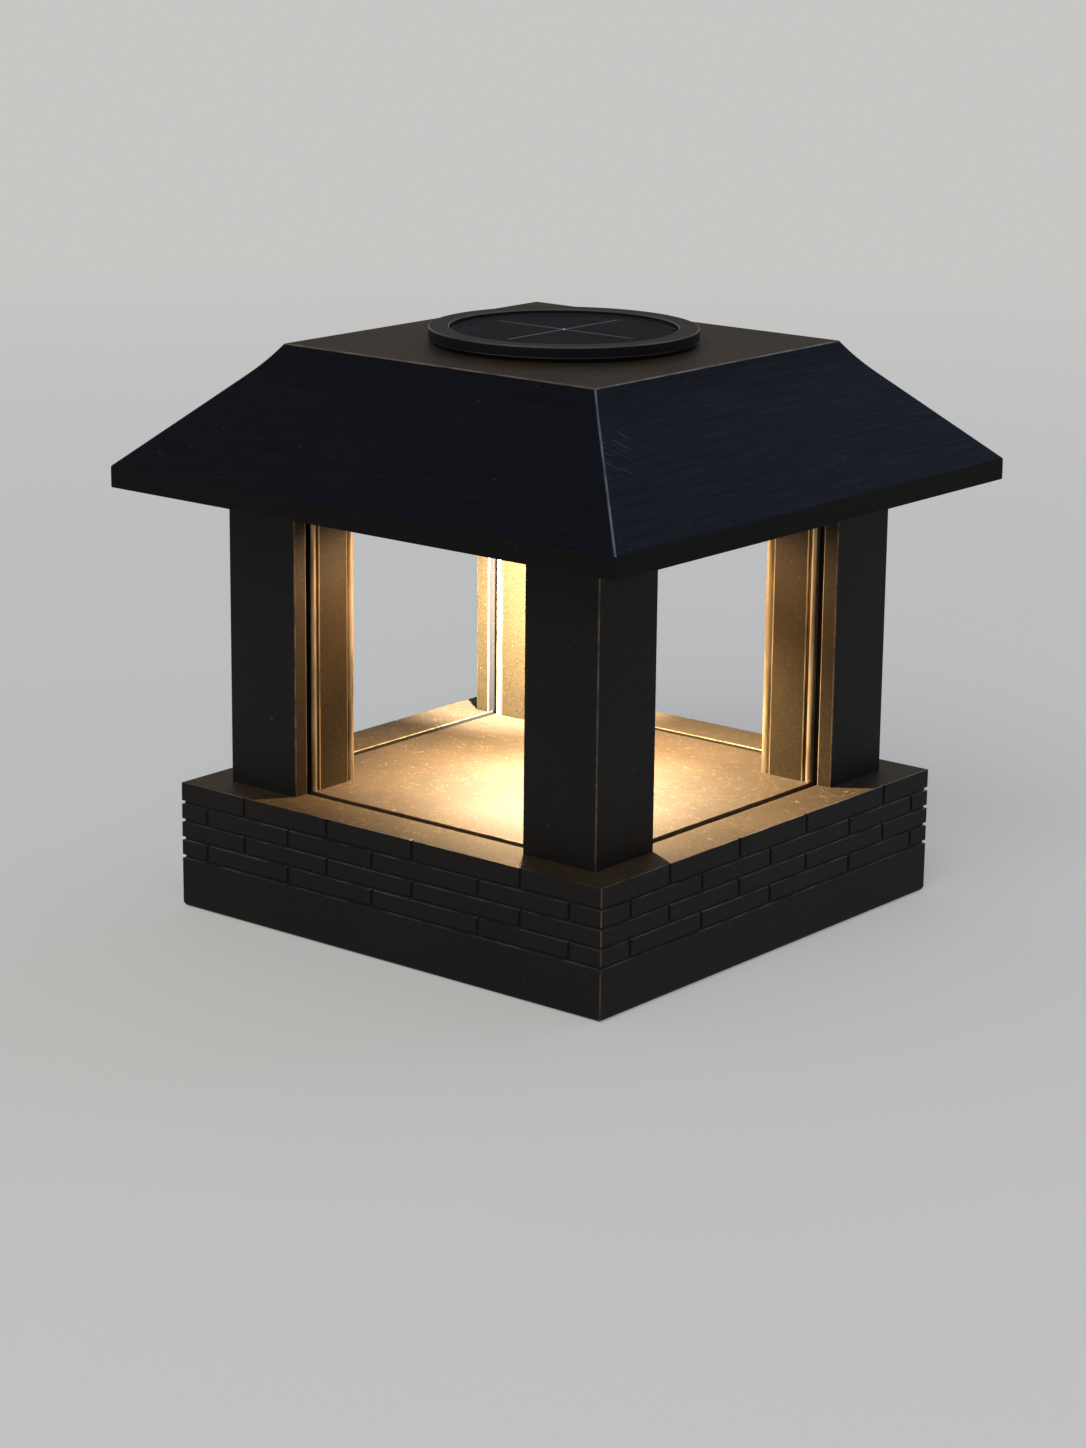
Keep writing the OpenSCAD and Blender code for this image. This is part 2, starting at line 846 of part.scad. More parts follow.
module switch_body() {
    color([0.15, 0.15, 0.16])
        difference() {
            translate([switch_travel / 2 - switch_body_w / 2, switch_y - switch_body_d / 2, floor_z])
                cube([switch_body_w, switch_body_d, board_z - floor_z]);
            translate([switch_travel / 2 - slot_w / 2, switch_y - slot_d / 2, floor_z - cut])
                cube([slot_w, slot_d, cut + slider_top_z + slider_gap - floor_z]);
        }
}

module switch_slider() {
    grip_d = 0.3;
    grip_w = 0.4;
    grip_pitch = 1.1;
    color([0.85, 0.85, 0.83])
        difference() {
            translate([-slider_w / 2, switch_y - slider_d / 2, base_z - slider_head_out])
                cube([slider_w, slider_d, slider_top_z - base_z + slider_head_out]);
            for (i = [-1, 0, 1])
                translate([
                    i * grip_pitch - grip_w / 2, switch_y - slider_d, base_z - slider_head_out - cut
                ])
                    cube([grip_w, 2 * slider_d, cut + grip_d]);
        }
}

module battery() {
    color([0.2, 0.45, 0.25])
        translate([-battery_l / 2, battery_y, battery_z])
            rotate([0, 90, 0]) {
                cylinder(r = battery_r, h = battery_l - nub_l);
                cylinder(r = nub_r, h = battery_l, $fn = 48);
            }
}

// Coiled spring: a wire that winds from the contact plate to the flat end of the battery
module battery_spring() {
    turns = 2.5;
    steps = 16;
    coil_r = 2.4;
    seat = 0.1;
    start_x = spring_face_x + wire_r - seat;
    end_x = spring_face_x + spring_l - wire_r - shank_gap;
    wire = [
        for (i = [0:turns * steps])
            let (a = 360 * i / steps, s = i / (turns * steps))
            [start_x + s * (end_x - start_x), battery_y + coil_r * cos(a), battery_z + coil_r * sin(a)]
    ];
    color(steel_grey) {
        translate([spring_face_x - contact_t, battery_y - contact_w / 2, contact_z])
            cube([contact_t, contact_w, contact_h]);
        swept_tube(wire, [1, 0, 0], wire_r, 6);
    }
}

module battery_plate() {
    color(steel_grey)
        translate([plate_face_x, battery_y - contact_w / 2, contact_z])
            cube([contact_t, contact_w, contact_h]);
}

module battery_door() {
    color([0.06, 0.06, 0.062]) {
        translate([hinge_x, battery_y - door_half, base_z])
            cube([door_end_x - hinge_x - door_gap, 2 * door_half, door_t]);
        translate([hinge_x, battery_y, hinge_z])
            rotate([90, 0, 0]) {
                cylinder(r = barrel_r, h = 2 * door_half, center = true, $fn = 48);
                cylinder(r = peg_r, h = 2 * (tray_half + peg_l - 0.1), center = true, $fn = 48);
            }
    }
}

// The two leads of the solar cell: from the board up through the web under the cell
module cell_leads() {
    steps = 10;
    foot_z = board_top_z + lead_tail;
    rise = cell_z - lead_tail - foot_z;
    color([0.5, 0.05, 0.05])
        for (x = [-lead_spread, lead_spread]) {
            bow = [
                for (i = [0:steps])
                    let (s = i / steps)
                    [x, lead_y + lead_bow * pow(sin(180 * s), 2), foot_z + s * rise]
            ];
            swept_tube(
                concat([[x, lead_y, board_top_z]], bow, [[x, lead_y, cell_z]]),
                [1, 0, 0], lead_r, 8
            );
        }
}

// The two leads of the battery: from the board over the tray's wall to the contacts
module battery_leads() {
    steps = 14;
    arch_h = 3;
    contact_x = [spring_face_x - contact_t / 2, plate_face_x + contact_t / 2];
    color([0.1, 0.1, 0.1])
        for (i = [0, 1]) {
            foot = [(2 * i - 1) * lead_foot_x, lead_foot_y, contact_top_z + lead_tail];
            head = [contact_x[i], battery_y, contact_top_z + lead_tail];
            start = [foot[0], foot[1], board_top_z];
            end = [head[0], head[1], contact_top_z];
            along = (head - foot) / norm(head - foot);
            swept_tube(
                concat([start], arch(foot, head, arch_h, steps), [end]),
                cross([0, 0, 1], along), lead_r, 8
            );
        }
}

base_collar();
deck_plate();
pillar_front_left();
pillar_front_right();
pillar_back_left();
pillar_back_right();
pillar_bottom_screws();
pillar_top_screws();
ceiling_panel();
roof_shell();
roof_screws();
module_gasket();
module_housing();
solar_cell();
cell_cover();
module_base();
module_screws();
lens();
reflector();
led();
circuit_board();
board_screws();
driver_chip();
coil();
switch_body();
switch_slider();
battery();
battery_spring();
battery_plate();
battery_door();
cell_leads();
battery_leads();
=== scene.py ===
from math import asin, copysign, cos, degrees, pi, radians, sin

import bmesh
import bpy
from mathutils import Matrix, Vector


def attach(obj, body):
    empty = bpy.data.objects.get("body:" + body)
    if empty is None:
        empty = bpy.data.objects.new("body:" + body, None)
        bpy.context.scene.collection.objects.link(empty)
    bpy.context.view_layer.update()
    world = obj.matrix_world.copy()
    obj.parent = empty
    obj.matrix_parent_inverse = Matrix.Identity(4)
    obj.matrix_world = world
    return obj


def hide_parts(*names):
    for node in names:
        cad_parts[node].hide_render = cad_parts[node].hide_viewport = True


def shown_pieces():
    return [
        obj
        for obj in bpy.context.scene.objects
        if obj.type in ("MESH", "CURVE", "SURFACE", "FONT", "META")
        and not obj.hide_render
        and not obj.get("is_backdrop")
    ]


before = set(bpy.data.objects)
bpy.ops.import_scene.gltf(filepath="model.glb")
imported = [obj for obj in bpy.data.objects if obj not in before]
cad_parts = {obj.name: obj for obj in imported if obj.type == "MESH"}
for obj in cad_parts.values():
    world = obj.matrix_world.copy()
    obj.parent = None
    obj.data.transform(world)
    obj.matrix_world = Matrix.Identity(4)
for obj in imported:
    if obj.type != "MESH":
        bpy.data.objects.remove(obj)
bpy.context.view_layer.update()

# The collar is a square skirt of die-cast aluminium that slips over its support. Bed joints and
# staggered upright joints are cast into its faces, like a low brick wall, under a flat rim. The
# castings are blasted and powder-coated black over a bronze undercoat, which shows where they rub.
# The brown, bronze and grey along their edges are partly that wear and partly painted highlights.
MM = 0.001
SHARP = radians(32)
SAME_PLACE = 0.002 * MM
SAME_PLANE = radians(0.4)
COLLAR_HALF = 67.9 * MM
RIM_Z = 32.6 * MM
RIM_W = 18.0 * MM
FOOT_Z = 0.9 * MM
RIM_ARRIS = 0.24 * MM


class Wire:
    """One socket of a node tree. An expression on wires adds its Math nodes."""

    def __init__(self, tree, socket=None):
        self.tree = tree
        self.socket = socket

    def node(self, kind, settings=None, sockets=None, output=0):
        """A new node: its settings first, then the values or links of its sockets. Gives the wire
        of the output with this number or name."""
        made = self.tree.nodes.new(kind)
        for key, value in (settings or {}).items():
            if key == "stops":
                ramp = made.color_ramp
                while len(ramp.elements) < len(value):
                    ramp.elements.new(0.5)
                for element, (place, colour) in zip(ramp.elements, value):
                    element.position = place
                    element.color = colour
            else:
                setattr(made, key, value)
        for key, value in (sockets or {}).items():
            for one in value if isinstance(value, list) else [value]:
                if isinstance(one, Wire):
                    self.tree.links.new(one.socket, made.inputs[key])
                else:
                    made.inputs[key].default_value = one
        return Wire(self.tree, made.outputs[output]) if made.outputs else None

    def math(self, operation, *others):
        """A Math node on this value and the others after it."""
        values = dict(enumerate([self, *others]))
        return self.node("ShaderNodeMath", {"operation": operation}, values)

    def __add__(self, other):
        return self.math("ADD", other)

    def __sub__(self, other):
        return self.math("SUBTRACT", other)

    def __rsub__(self, other):
        return self.node("ShaderNodeMath", {"operation": "SUBTRACT"}, {0: other, 1: self})

    def __mul__(self, other):
        return self.math("MULTIPLY", other)

    def __truediv__(self, other):
        return self.math("DIVIDE", other)

    def __gt__(self, other):
        return self.math("GREATER_THAN", other)

    def __lt__(self, other):
        return self.math("LESS_THAN", other)

    def __abs__(self):
        return self.math("ABSOLUTE")

    __radd__ = __add__
    __rmul__ = __mul__

    def axis(self, index):
        """One of the three parts of a place: 0 for X, 1 for Y, 2 for Z."""
        return self.node("ShaderNodeSeparateXYZ", {}, {0: self}, index)

    def between(self, low, high):
        """0 where this value is at low, 1 where it is at high, and no further."""
        return self.node("ShaderNodeMapRange", {}, {0: self, 1: low, 2: high})

    def noise(self, scale, detail=2.0, rough=0.5, swirl=0.0):
        """Cloudy noise at this place, with about scale clouds per metre."""
        return self.node("ShaderNodeTexNoise", {}, {
            "Vector": self, "Scale": scale, "Detail": detail, "Roughness": rough,
            "Distortion": swirl,
        })

    def stretch(self, *shares):
        """This place, scaled along X, Y and Z."""
        return self.node("ShaderNodeMapping", {}, {"Vector": self, "Scale": shares})

    def tones(self, *stops):
        """This value as a colour, through a ramp of (place, colour) stops."""
        return self.node("ShaderNodeValToRGB", {"stops": stops}, {0: self})

    def tint(self, mask, colour):
        """This colour, turned into the other one where the mask is 1."""
        return self.node("ShaderNodeMix", {"data_type": "RGBA"}, {0: mask, 6: self, 7: colour}, 2)


def tone(*steps):
    """A colour from its three steps of 255 on screen."""
    return (*[((s / 255 + 0.055) / 1.055) ** 2.4 for s in steps], 1)


def finish(name, paint):
    """A material. paint(place) gives the shader's sockets, and bump as (height, depth)."""
    material = bpy.data.materials.new(name)
    material.use_nodes = True
    material.node_tree.nodes.clear()
    start = Wire(material.node_tree)
    sockets = paint(start.node("ShaderNodeTexCoord", output="Object"))
    if "bump" in sockets:
        height, depth = sockets.pop("bump")
        sockets["Normal"] = start.node("ShaderNodeBump", {}, {
            "Height": height, "Distance": depth, "Strength": 1.0})
    start.node("ShaderNodeOutputMaterial", {}, {
        0: start.node("ShaderNodeBsdfPrincipled", {}, sockets)})
    return material


def peel(place):
    """The fine orange peel of a powder coat."""
    return place.noise(1500, 2.0, 0.6, 1.5)


def hand_strokes(place):
    """Short curled strokes of the hand blasting, with the fine peel of the coat over them."""
    curl = abs(place.noise(260, 1.0, 0.5, 2.0) - 0.5).between(0.026, 0.0)
    broken = place.noise(420, 1.0, 0.5).between(0.46, 0.52)
    return curl * broken * 0.6 + peel(place) * 0.4


def coat(cool, warm, raised, strokes, depth, gloss):
    """Powder coat whose black leans to cool or warm from place to place. The crests of the strokes
    under it are lightened as a painted highlight, and pale dust lies on it in specks."""
    def paint(place):
        height = strokes(place)
        crest = height.between(0.4, 0.8)
        body = place.noise(24, 3.0, 0.6).tones((0.38, cool), (0.62, warm))
        specks = place.noise(1000, 1.0, 0.5).between(0.78, 0.81)
        return {
            "Base Color": body.tint(crest * 0.5, raised).tint(specks * 0.5, tone(110, 98, 84)),
            "Roughness": 0.58 - 0.16 * crest,
            "Specular IOR Level": gloss,
            "bump": (height, depth),
        }
    return paint


def rubbed_coat_and_highlight(place):
    """The coat along an edge, brown in patches, partly rubbed through to the bronze undercoat and
    partly a painted highlight along the arris.
    """
    rubbed_and_lit = place.noise(170, 3.0, 0.65).between(0.36, 0.6)
    return {
        "Base Color": rubbed_and_lit.tones((0.0, tone(46, 40, 36)), (1.0, tone(100, 80, 64))),
        "Metallic": 0.6,
        "Roughness": 0.44 - 0.1 * rubbed_and_lit,
        "bump": (hand_strokes(place), 0.03 * MM),
    }


def bronzed_highlight(place):
    """The coat of a bead or an inner arris, rubbed right through to the bronze undercoat, and
    lightened further with a painted highlight.
    """
    rubbed_and_lit = place.stretch(1, 1, 0.1).noise(420, 3.0, 0.6).between(0.35, 0.65)
    return {
        "Base Color": rubbed_and_lit.tones((0.0, tone(94, 80, 58)), (1.0, tone(170, 150, 116))),
        "Metallic": 0.6,
        "Roughness": 0.42 - 0.12 * rubbed_and_lit,
        "bump": (peel(place), 0.02 * MM),
    }


def upward_highlight_coat(place):
    """The coat along the tops of the bricks, with a painted grey highlight in patches."""
    sheen_patches = place.noise(90, 3.0, 0.6).between(0.4, 0.62)
    return {
        "Base Color": sheen_patches.tones((0.0, tone(34, 33, 34)), (1.0, tone(104, 100, 99))),
        "Metallic": 0.4,
        "Roughness": 0.44 - 0.08 * sheen_patches,
        "bump": (peel(place), 0.02 * MM),
    }


black_coat = finish("black_coat", coat(
    tone(20, 20, 21), tone(26, 23, 20), tone(32, 29, 25), peel, 0.04 * MM, 0.12))
# The rim's warm brown is a painted glow of the lens light on the black coat.
rim_painted_glow = finish("rim_painted_glow", coat(
    tone(42, 35, 26), tone(54, 45, 33), tone(106, 88, 62), hand_strokes, 0.08 * MM, 0.08))
rubbed_edge_and_highlight = finish("rubbed_edge_and_highlight", rubbed_coat_and_highlight)
bronze_wear_and_highlight = finish("bronze_wear_and_highlight", bronzed_highlight)
upward_arris_highlight = finish("upward_arris_highlight", upward_highlight_coat)


def piece_of(name, data):
    """A new object of the scene that holds this mesh, camera or lamp."""
    made = bpy.data.objects.new(name, data)
    bpy.context.scene.collection.objects.link(made)
    return made


def settle(piece):
    """Works a piece's modifiers into a plain mesh."""
    bpy.context.view_layer.update()
    plain = bpy.data.meshes.new_from_object(
        piece.evaluated_get(bpy.context.evaluated_depsgraph_get()))
    piece.modifiers.clear()
    piece.data = plain


def merged_copy(node):
    """A mesh of a CAD node, with its loose triangles joined and its flat faces made whole."""
    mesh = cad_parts[node].data.copy()
    mesh.materials.clear()
    joined = bmesh.new()
    joined.from_mesh(mesh)
    bmesh.ops.remove_doubles(joined, verts=joined.verts, dist=SAME_PLACE)
    bmesh.ops.dissolve_limit(
        joined, angle_limit=SAME_PLANE, verts=joined.verts, edges=joined.edges)
    joined.to_mesh(mesh)
    joined.free()
    return mesh


def soften(piece, arris, segments, edge_slot):
    """Rounds a piece's sharp edges, as casting and coating do. The rounds get the finish with
    this number."""
    bevel = piece.modifiers.new("arris", "BEVEL")
    bevel.width = arris
    bevel.segments = segments
    bevel.limit_method = "ANGLE"
    bevel.angle_limit = SHARP
    bevel.use_clamp_overlap = False
    bevel.material = edge_slot
    settle(piece)


def shade(piece):
    """Shades a piece smooth across its bends, crisp at its corners and flat on its flats."""
    piece.data.shade_smooth()
    piece.data.set_sharp_from_angle(angle=SHARP)
    flats = piece.modifiers.new("flats", "WEIGHTED_NORMAL")
    flats.keep_sharp = True
    settle(piece)


def fit(piece, body, slot, *nodes):
    """Puts a finished piece on its body, in the place of its CAD nodes."""
    shade(piece)
    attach(piece, body)
    if nodes:
        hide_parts(*nodes)


def dressed(node, body, slot, finishes, arris, segments=2, wear=None):
    """Stands a copy with softened edges in for a CAD node. The last finish is for the edges, or
    wear(face, on_edge) gives each face's finish."""
    piece = piece_of(node + "_made", merged_copy(node))
    for one in finishes:
        piece.data.materials.append(one)
    if arris:
        soften(piece, arris, segments, len(finishes) - 1)
    if wear:
        for face in piece.data.polygons:
            face.material_index = finishes.index(wear(face, face.material_index > 0))
    fit(piece, body, slot, node)
    return piece


def collar_wear(face, on_edge):
    """The stroked coat with a painted warm glow on the rim's flat top, bronze with a painted
    highlight round its recess, a rubbed coat with a painted highlight on the foot and the upright
    corners, and a painted grey highlight on the rim and the tops of the bricks."""
    place = face.center
    level, upward = face.normal.z > 0.99, face.normal.z > 0.4
    if not on_edge:
        return rim_painted_glow if level and place.z > RIM_Z - RIM_ARRIS else black_coat
    if max(abs(place.x), abs(place.y)) < COLLAR_HALF - RIM_W / 2:
        return bronze_wear_and_highlight
    at_corner = min(abs(place.x), abs(place.y)) > COLLAR_HALF - 3 * RIM_ARRIS
    if at_corner or place.z < FOOT_Z + RIM_ARRIS:
        return rubbed_edge_and_highlight
    return upward_arris_highlight if upward else black_coat


dressed("base_collar", "lantern_frame", "coated_metal",
        [black_coat, rim_painted_glow, rubbed_edge_and_highlight, upward_arris_highlight, bronze_wear_and_highlight], RIM_ARRIS,
        wear=collar_wear)

# The deck plate lies in a recess of the rim, of the same coated casting. The narrow channel left
# open all round it would take panes. The screws of the pillars hold it down.
DECK_ARRIS = 0.26 * MM
# The deck's warm brown is a painted glow of the lens light on the black coat.
deck_painted_glow = finish("deck_painted_glow", coat(
    tone(46, 38, 28), tone(56, 46, 34), tone(108, 90, 65), hand_strokes, 0.08 * MM, 0.12))
dressed("deck_plate", "lantern_frame", "coated_metal", [deck_painted_glow, rubbed_edge_and_highlight], DECK_ARRIS)

# Four square pillars are extruded from aluminium with one plan: two plain outer faces, and on each
# inner face a groove and a bead for a pane, with a round bead on the inner corner. Screws run into
# the port in the hollow from both ends.
PILLAR_W = 22.1
PILLAR_OUT = 58.8
PILLAR_H = 78.0
WALL = 2.0
GROOVE = (4.2, 6.6)
GROOVE_DEEP = 2.0
BEAD_END = 8.2
QUIRK_W = 0.6
QUIRK_DEEP = 0.8
CORNER_BEAD_R = 1.1
PORT_R = 3.5
BORE_R = 1.65
WEB_W = 1.6
PILLAR_ARRIS = 0.3


def arc(x, y, radius, start, end, steps):
    """Points of an arc about (x, y), with its angles in degrees."""
    turns = [radians(start + (end - start) * i / steps) for i in range(steps + 1)]
    return [(x + radius * cos(t), y + radius * sin(t)) for t in turns]


def ring(x, y, radius, sides):
    """Points of a whole circle about (x, y)."""
    return arc(x, y, radius, 0, 360 - 360 / sides, sides - 1)


def jamb():
    """The plan of the inner face at X = PILLAR_W, from the outer arris to the corner bead."""
    face, floor, quirk = PILLAR_W, PILLAR_W - GROOVE_DEEP, PILLAR_W - QUIRK_DEEP
    bead_r = (BEAD_END - GROOVE[1]) / 2
    last = PILLAR_W - 2 * CORNER_BEAD_R - QUIRK_W
    return [
        (face, 0), (face, GROOVE[0]), (floor, GROOVE[0]), (floor, GROOVE[1]),
        *arc(face - bead_r, GROOVE[1] + bead_r, bead_r, -90, 90, 12),
        (quirk, BEAD_END), (quirk, BEAD_END + QUIRK_W), (face, BEAD_END + QUIRK_W),
        (face, last), (quirk, last), (quirk, last + QUIRK_W),
    ]


def hollows():
    """The four quarters of the hollow, between the walls, the webs and the screw port."""
    near, middle, far = WALL, PILLAR_W / 2, PILLAR_W - GROOVE_DEEP - WALL
    web_turn = degrees(asin(WEB_W / 2 / PORT_R))
    quarters = []
    for index, (x, y) in enumerate([(far, far), (near, far), (near, near), (far, near)]):
        turn = 90 * index
        bow = arc(middle, middle, PORT_R, turn + web_turn, turn + 90 - web_turn, 8)
        x_web = middle + copysign(WEB_W / 2, x - middle)
        y_web = middle + copysign(WEB_W / 2, y - middle)
        ends = [(x_web, y), (x, y), (x, y_web)]
        quarters.append(bow + (ends if index % 2 == 0 else ends[::-1]))
    return quarters


def plan_mesh():
    """The whole plan as closed lines: the outline, the four hollows and the bore."""
    side = jamb()
    corner = PILLAR_W - CORNER_BEAD_R
    outline = [
        (0, 0), *side, *arc(corner, corner, CORNER_BEAD_R, -45, 135, 14),
        *[(y, x) for x, y in reversed(side)],
    ]
    bore = ring(PILLAR_W / 2, PILLAR_W / 2, BORE_R, 24)
    points, lines = [], []
    for loop in [outline, *hollows(), bore]:
        first = len(points)
        points += [(x * MM, y * MM, 0) for x, y in loop]
        lines += [(first + i, first + (i + 1) % len(loop)) for i in range(len(loop))]
    mesh = bpy.data.meshes.new("pillar_plan")
    mesh.from_pydata(points, lines, [])
    return mesh


def geometry_tree(name, inputs):
    """A node tree for a modifier, with named inputs of (name, kind). Gives the tree's first wire
    and a wire for each input."""
    tree = bpy.data.node_groups.new(name, "GeometryNodeTree")
    tree.interface.new_socket("Geometry", in_out="OUTPUT", socket_type="NodeSocketGeometry")
    for label, kind in [("Geometry", "Geometry"), *inputs]:
        tree.interface.new_socket(label, in_out="INPUT", socket_type="NodeSocket" + kind)
    entry = tree.nodes.new("NodeGroupInput")
    given = {s.name: Wire(tree, s) for s in entry.outputs if s.name}
    return Wire(tree), given


def grown(name, seed, tree, values):
    """A plain mesh that the node tree makes from the seed mesh and these values."""
    piece = piece_of(name, seed)
    modifier = piece.modifiers.new("growth", "NODES")
    modifier.node_group = tree
    for socket in tree.interface.items_tree:
        if socket.in_out == "INPUT" and socket.name in values:
            modifier[socket.identifier] = values[socket.name]
    settle(piece)
    # The seed mesh can leave an empty first slot.
    if not piece.data.materials[0]:
        piece.data.materials.pop(index=0)
    return piece


def extrusion_tree():
    """Rounds a plan's corners, pulls it up to a height and turns it to its corner of the deck."""
    start, given = geometry_tree("extrusion", [
        ("Arris", "Float"), ("Height", "Float"), ("Corner", "Vector"), ("Turn", "Vector"),
        ("Finish", "Material")])
    lines = start.node("GeometryNodeMeshToCurve", {}, {0: given["Geometry"]})
    rounded = start.node("GeometryNodeFilletCurve", {"mode": "POLY"}, {
        "Curve": lines, "Radius": given["Arris"], "Limit Radius": True, "Count": 2})
    foot = start.node("GeometryNodeFillCurve", {}, {"Curve": rounded})
    rise = start.node("ShaderNodeCombineXYZ", {}, {2: given["Height"]})
    body = start.node("GeometryNodeExtrudeMesh", {"mode": "FACES"}, {
        "Mesh": foot, "Offset": rise, "Offset Scale": 1.0, "Individual": False})
    sole = start.node("GeometryNodeFlipFaces", {}, {0: foot})
    whole = start.node("GeometryNodeJoinGeometry", {}, {0: [body, sole]})
    closed = start.node("GeometryNodeMergeByDistance", {}, {
        "Geometry": whole, "Distance": SAME_PLACE})
    set_out = start.node("GeometryNodeTransform", {}, {
        "Geometry": closed, "Translation": given["Corner"]})
    turned = start.node("GeometryNodeTransform", {}, {
        "Geometry": set_out, "Rotation": given["Turn"]})
    real = start.node("GeometryNodeRealizeInstances", {}, {0: turned})
    coated = start.node("GeometryNodeSetMaterial", {}, {
        "Geometry": real, "Material": given["Finish"]})
    start.node("NodeGroupOutput", {}, {0: coated})
    return start.tree


def mended(piece):
    """Joins a made mesh's doubles and turns its faces outwards."""
    clean = bmesh.new()
    clean.from_mesh(piece.data)
    bmesh.ops.remove_doubles(clean, verts=clean.verts, dist=SAME_PLACE / 2)
    bmesh.ops.recalc_face_normals(clean, faces=clean.faces)
    clean.to_mesh(piece.data)
    clean.free()


def pillar_wear(face):
    """The finish of a pillar's face, from its place in the plan: along is its distance from one
    outer face, in mm, and depth from the other."""
    along, depth = sorted(PILLAR_OUT - abs(c) / MM for c in face.center.xy)
    oblique = max(abs(n) for n in face.normal) < cos(radians(12))
    if depth < PILLAR_W - GROOVE_DEEP - PILLAR_ARRIS or along < GROOVE[0] / 2 - PILLAR_ARRIS:
        return rubbed_edge_and_highlight if oblique else black_coat
    in_groove = GROOVE[0] < along < GROOVE[1]
    on_bead = GROOVE[1] <= along < BEAD_END or along > PILLAR_W - 2 * CORNER_BEAD_R
    if on_bead or oblique and not in_groove:
        return bronze_wear_and_highlight
    on_strip = along < GROOVE[0]
    on_flat = BEAD_END + QUIRK_W < along < PILLAR_W - 2 * CORNER_BEAD_R - QUIRK_W
    return jamb_painted_glow if on_strip or on_flat else black_coat


# The jambs' brown is a painted glow of the lens light on the black coat.
jamb_painted_glow = finish("jamb_painted_glow", coat(
    tone(24, 19, 10), tone(32, 25, 13), tone(58, 45, 25), peel, 0.05 * MM, 0.1))
pillar_finishes = [black_coat, rubbed_edge_and_highlight, jamb_painted_glow, bronze_wear_and_highlight]
pillar_tree = extrusion_tree()
CORNERS = {"back_right": 180, "back_left": 270, "front_left": 0, "front_right": 90}
for corner, turn in CORNERS.items():
    pillar = grown("pillar_" + corner + "_made", plan_mesh(), pillar_tree, {
        "Arris": PILLAR_ARRIS * MM, "Height": PILLAR_H * MM,
        "Corner": (-PILLAR_OUT * MM, -PILLAR_OUT * MM, RIM_Z),
        "Turn": (0, 0, radians(turn)), "Finish": black_coat})
    mended(pillar)
    for one in pillar_finishes[1:]:
        pillar.data.materials.append(one)
    for face in pillar.data.polygons:
        face.material_index = pillar_finishes.index(pillar_wear(face))
    fit(pillar, "lantern_frame", "coated_metal", "pillar_" + corner)

# Zinc-plated pan-head screws with a cross recess hold the lantern together: four up through the
# collar into the pillars, four down through the ceiling into them, and four up into the roof. The
# core, thread and ridge are shares of a shank's radius, and the recess's sides of its head's.
CORE_R = 0.82
THREAD_R = 0.86
RIDGE_R = 0.14
RECESS_L = 0.95
RECESS_W = 0.24
HEAD_SPREAD = 1.25


def screw_tree():
    """A pan-head screw with a rolled thread on each point, its head's seat at the point."""
    start, given = geometry_tree("pan_screw", [
        ("Shank radius", "Float"), ("Head radius", "Float"), ("Head height", "Float"),
        ("Length", "Float"), ("Pitch", "Float"), ("Turn", "Vector"), ("Finish", "Material")])
    shank_r, head_r, head_h = given["Shank radius"], given["Head radius"], given["Head height"]
    length, pitch = given["Length"], given["Pitch"]

    def raised(shape, z):
        """The shape, raised by z."""
        lift = start.node("ShaderNodeCombineXYZ", {}, {2: z})
        return start.node("GeometryNodeTransform", {}, {"Geometry": shape, "Translation": lift})

    shank = start.node("GeometryNodeMeshCylinder", {}, {
        "Vertices": 20, "Radius": shank_r * CORE_R, "Depth": length})
    winding = start.node("GeometryNodeCurveSpiral", {}, {
        "Resolution": 14, "Rotations": (length - pitch * 2) / pitch,
        "Start Radius": shank_r * THREAD_R, "End Radius": shank_r * THREAD_R,
        "Height": length - pitch * 2})
    ridge = start.node("GeometryNodeCurvePrimitiveCircle", {}, {
        "Resolution": 3, "Radius": shank_r * RIDGE_R})
    thread = start.node("GeometryNodeCurveToMesh", {}, {
        "Curve": winding, "Profile Curve": ridge, "Fill Caps": True})

    ball = start.node("GeometryNodeMeshUVSphere", {}, {
        "Segments": 36, "Rings": 18, "Radius": 1.0})
    place = start.node("GeometryNodeInputPosition")
    down = (place.axis(2) * HEAD_SPREAD).math("MINIMUM", 0.0).math("MAXIMUM", -1.0)
    pan = start.node("ShaderNodeCombineXYZ", {}, {
        0: place.axis(0) * head_r, 1: place.axis(1) * head_r, 2: down * head_h})
    head = start.node("GeometryNodeSetPosition", {}, {"Geometry": ball, "Position": pan})
    recess = []
    for turn in (0.0, pi / 2):
        size = start.node("ShaderNodeCombineXYZ", {}, {
            0: head_r * RECESS_L, 1: head_r * RECESS_W, 2: head_h})
        slot = start.node("GeometryNodeMeshCube", {}, {"Size": size})
        low = start.node("ShaderNodeCombineXYZ", {}, {2: head_h * -1.0})
        recess.append(start.node("GeometryNodeTransform", {}, {
            "Geometry": slot, "Translation": low, "Rotation": (0, 0, turn)}))
    cut = start.node("GeometryNodeMeshBoolean", {"solver": "EXACT"}, {0: head, 1: recess})
    screw = start.node("GeometryNodeJoinGeometry", {}, {
        0: [cut, raised(shank, length * 0.5), raised(thread, pitch * 0.5)]})
    placed = start.node("GeometryNodeInstanceOnPoints", {}, {
        "Points": given["Geometry"], "Instance": screw, "Rotation": given["Turn"]})
    real = start.node("GeometryNodeRealizeInstances", {}, {0: placed})
    plated = start.node("GeometryNodeSetMaterial", {}, {
        "Geometry": real, "Material": given["Finish"]})
    start.node("NodeGroupOutput", {}, {0: plated})
    return start.tree


def steel(place):
    """Bright zinc on rolled steel, with fine marks of the tumbling."""
    marks = place.noise(1800, 2.0, 0.6, 0.6)
    return {
        "Base Color": marks.tones((0.3, tone(150, 152, 156)), (0.7, tone(190, 191, 194))),
        "Metallic": 1.0,
        "Roughness": 0.26 + 0.16 * marks,
        "bump": (marks, 0.015 * MM),
    }


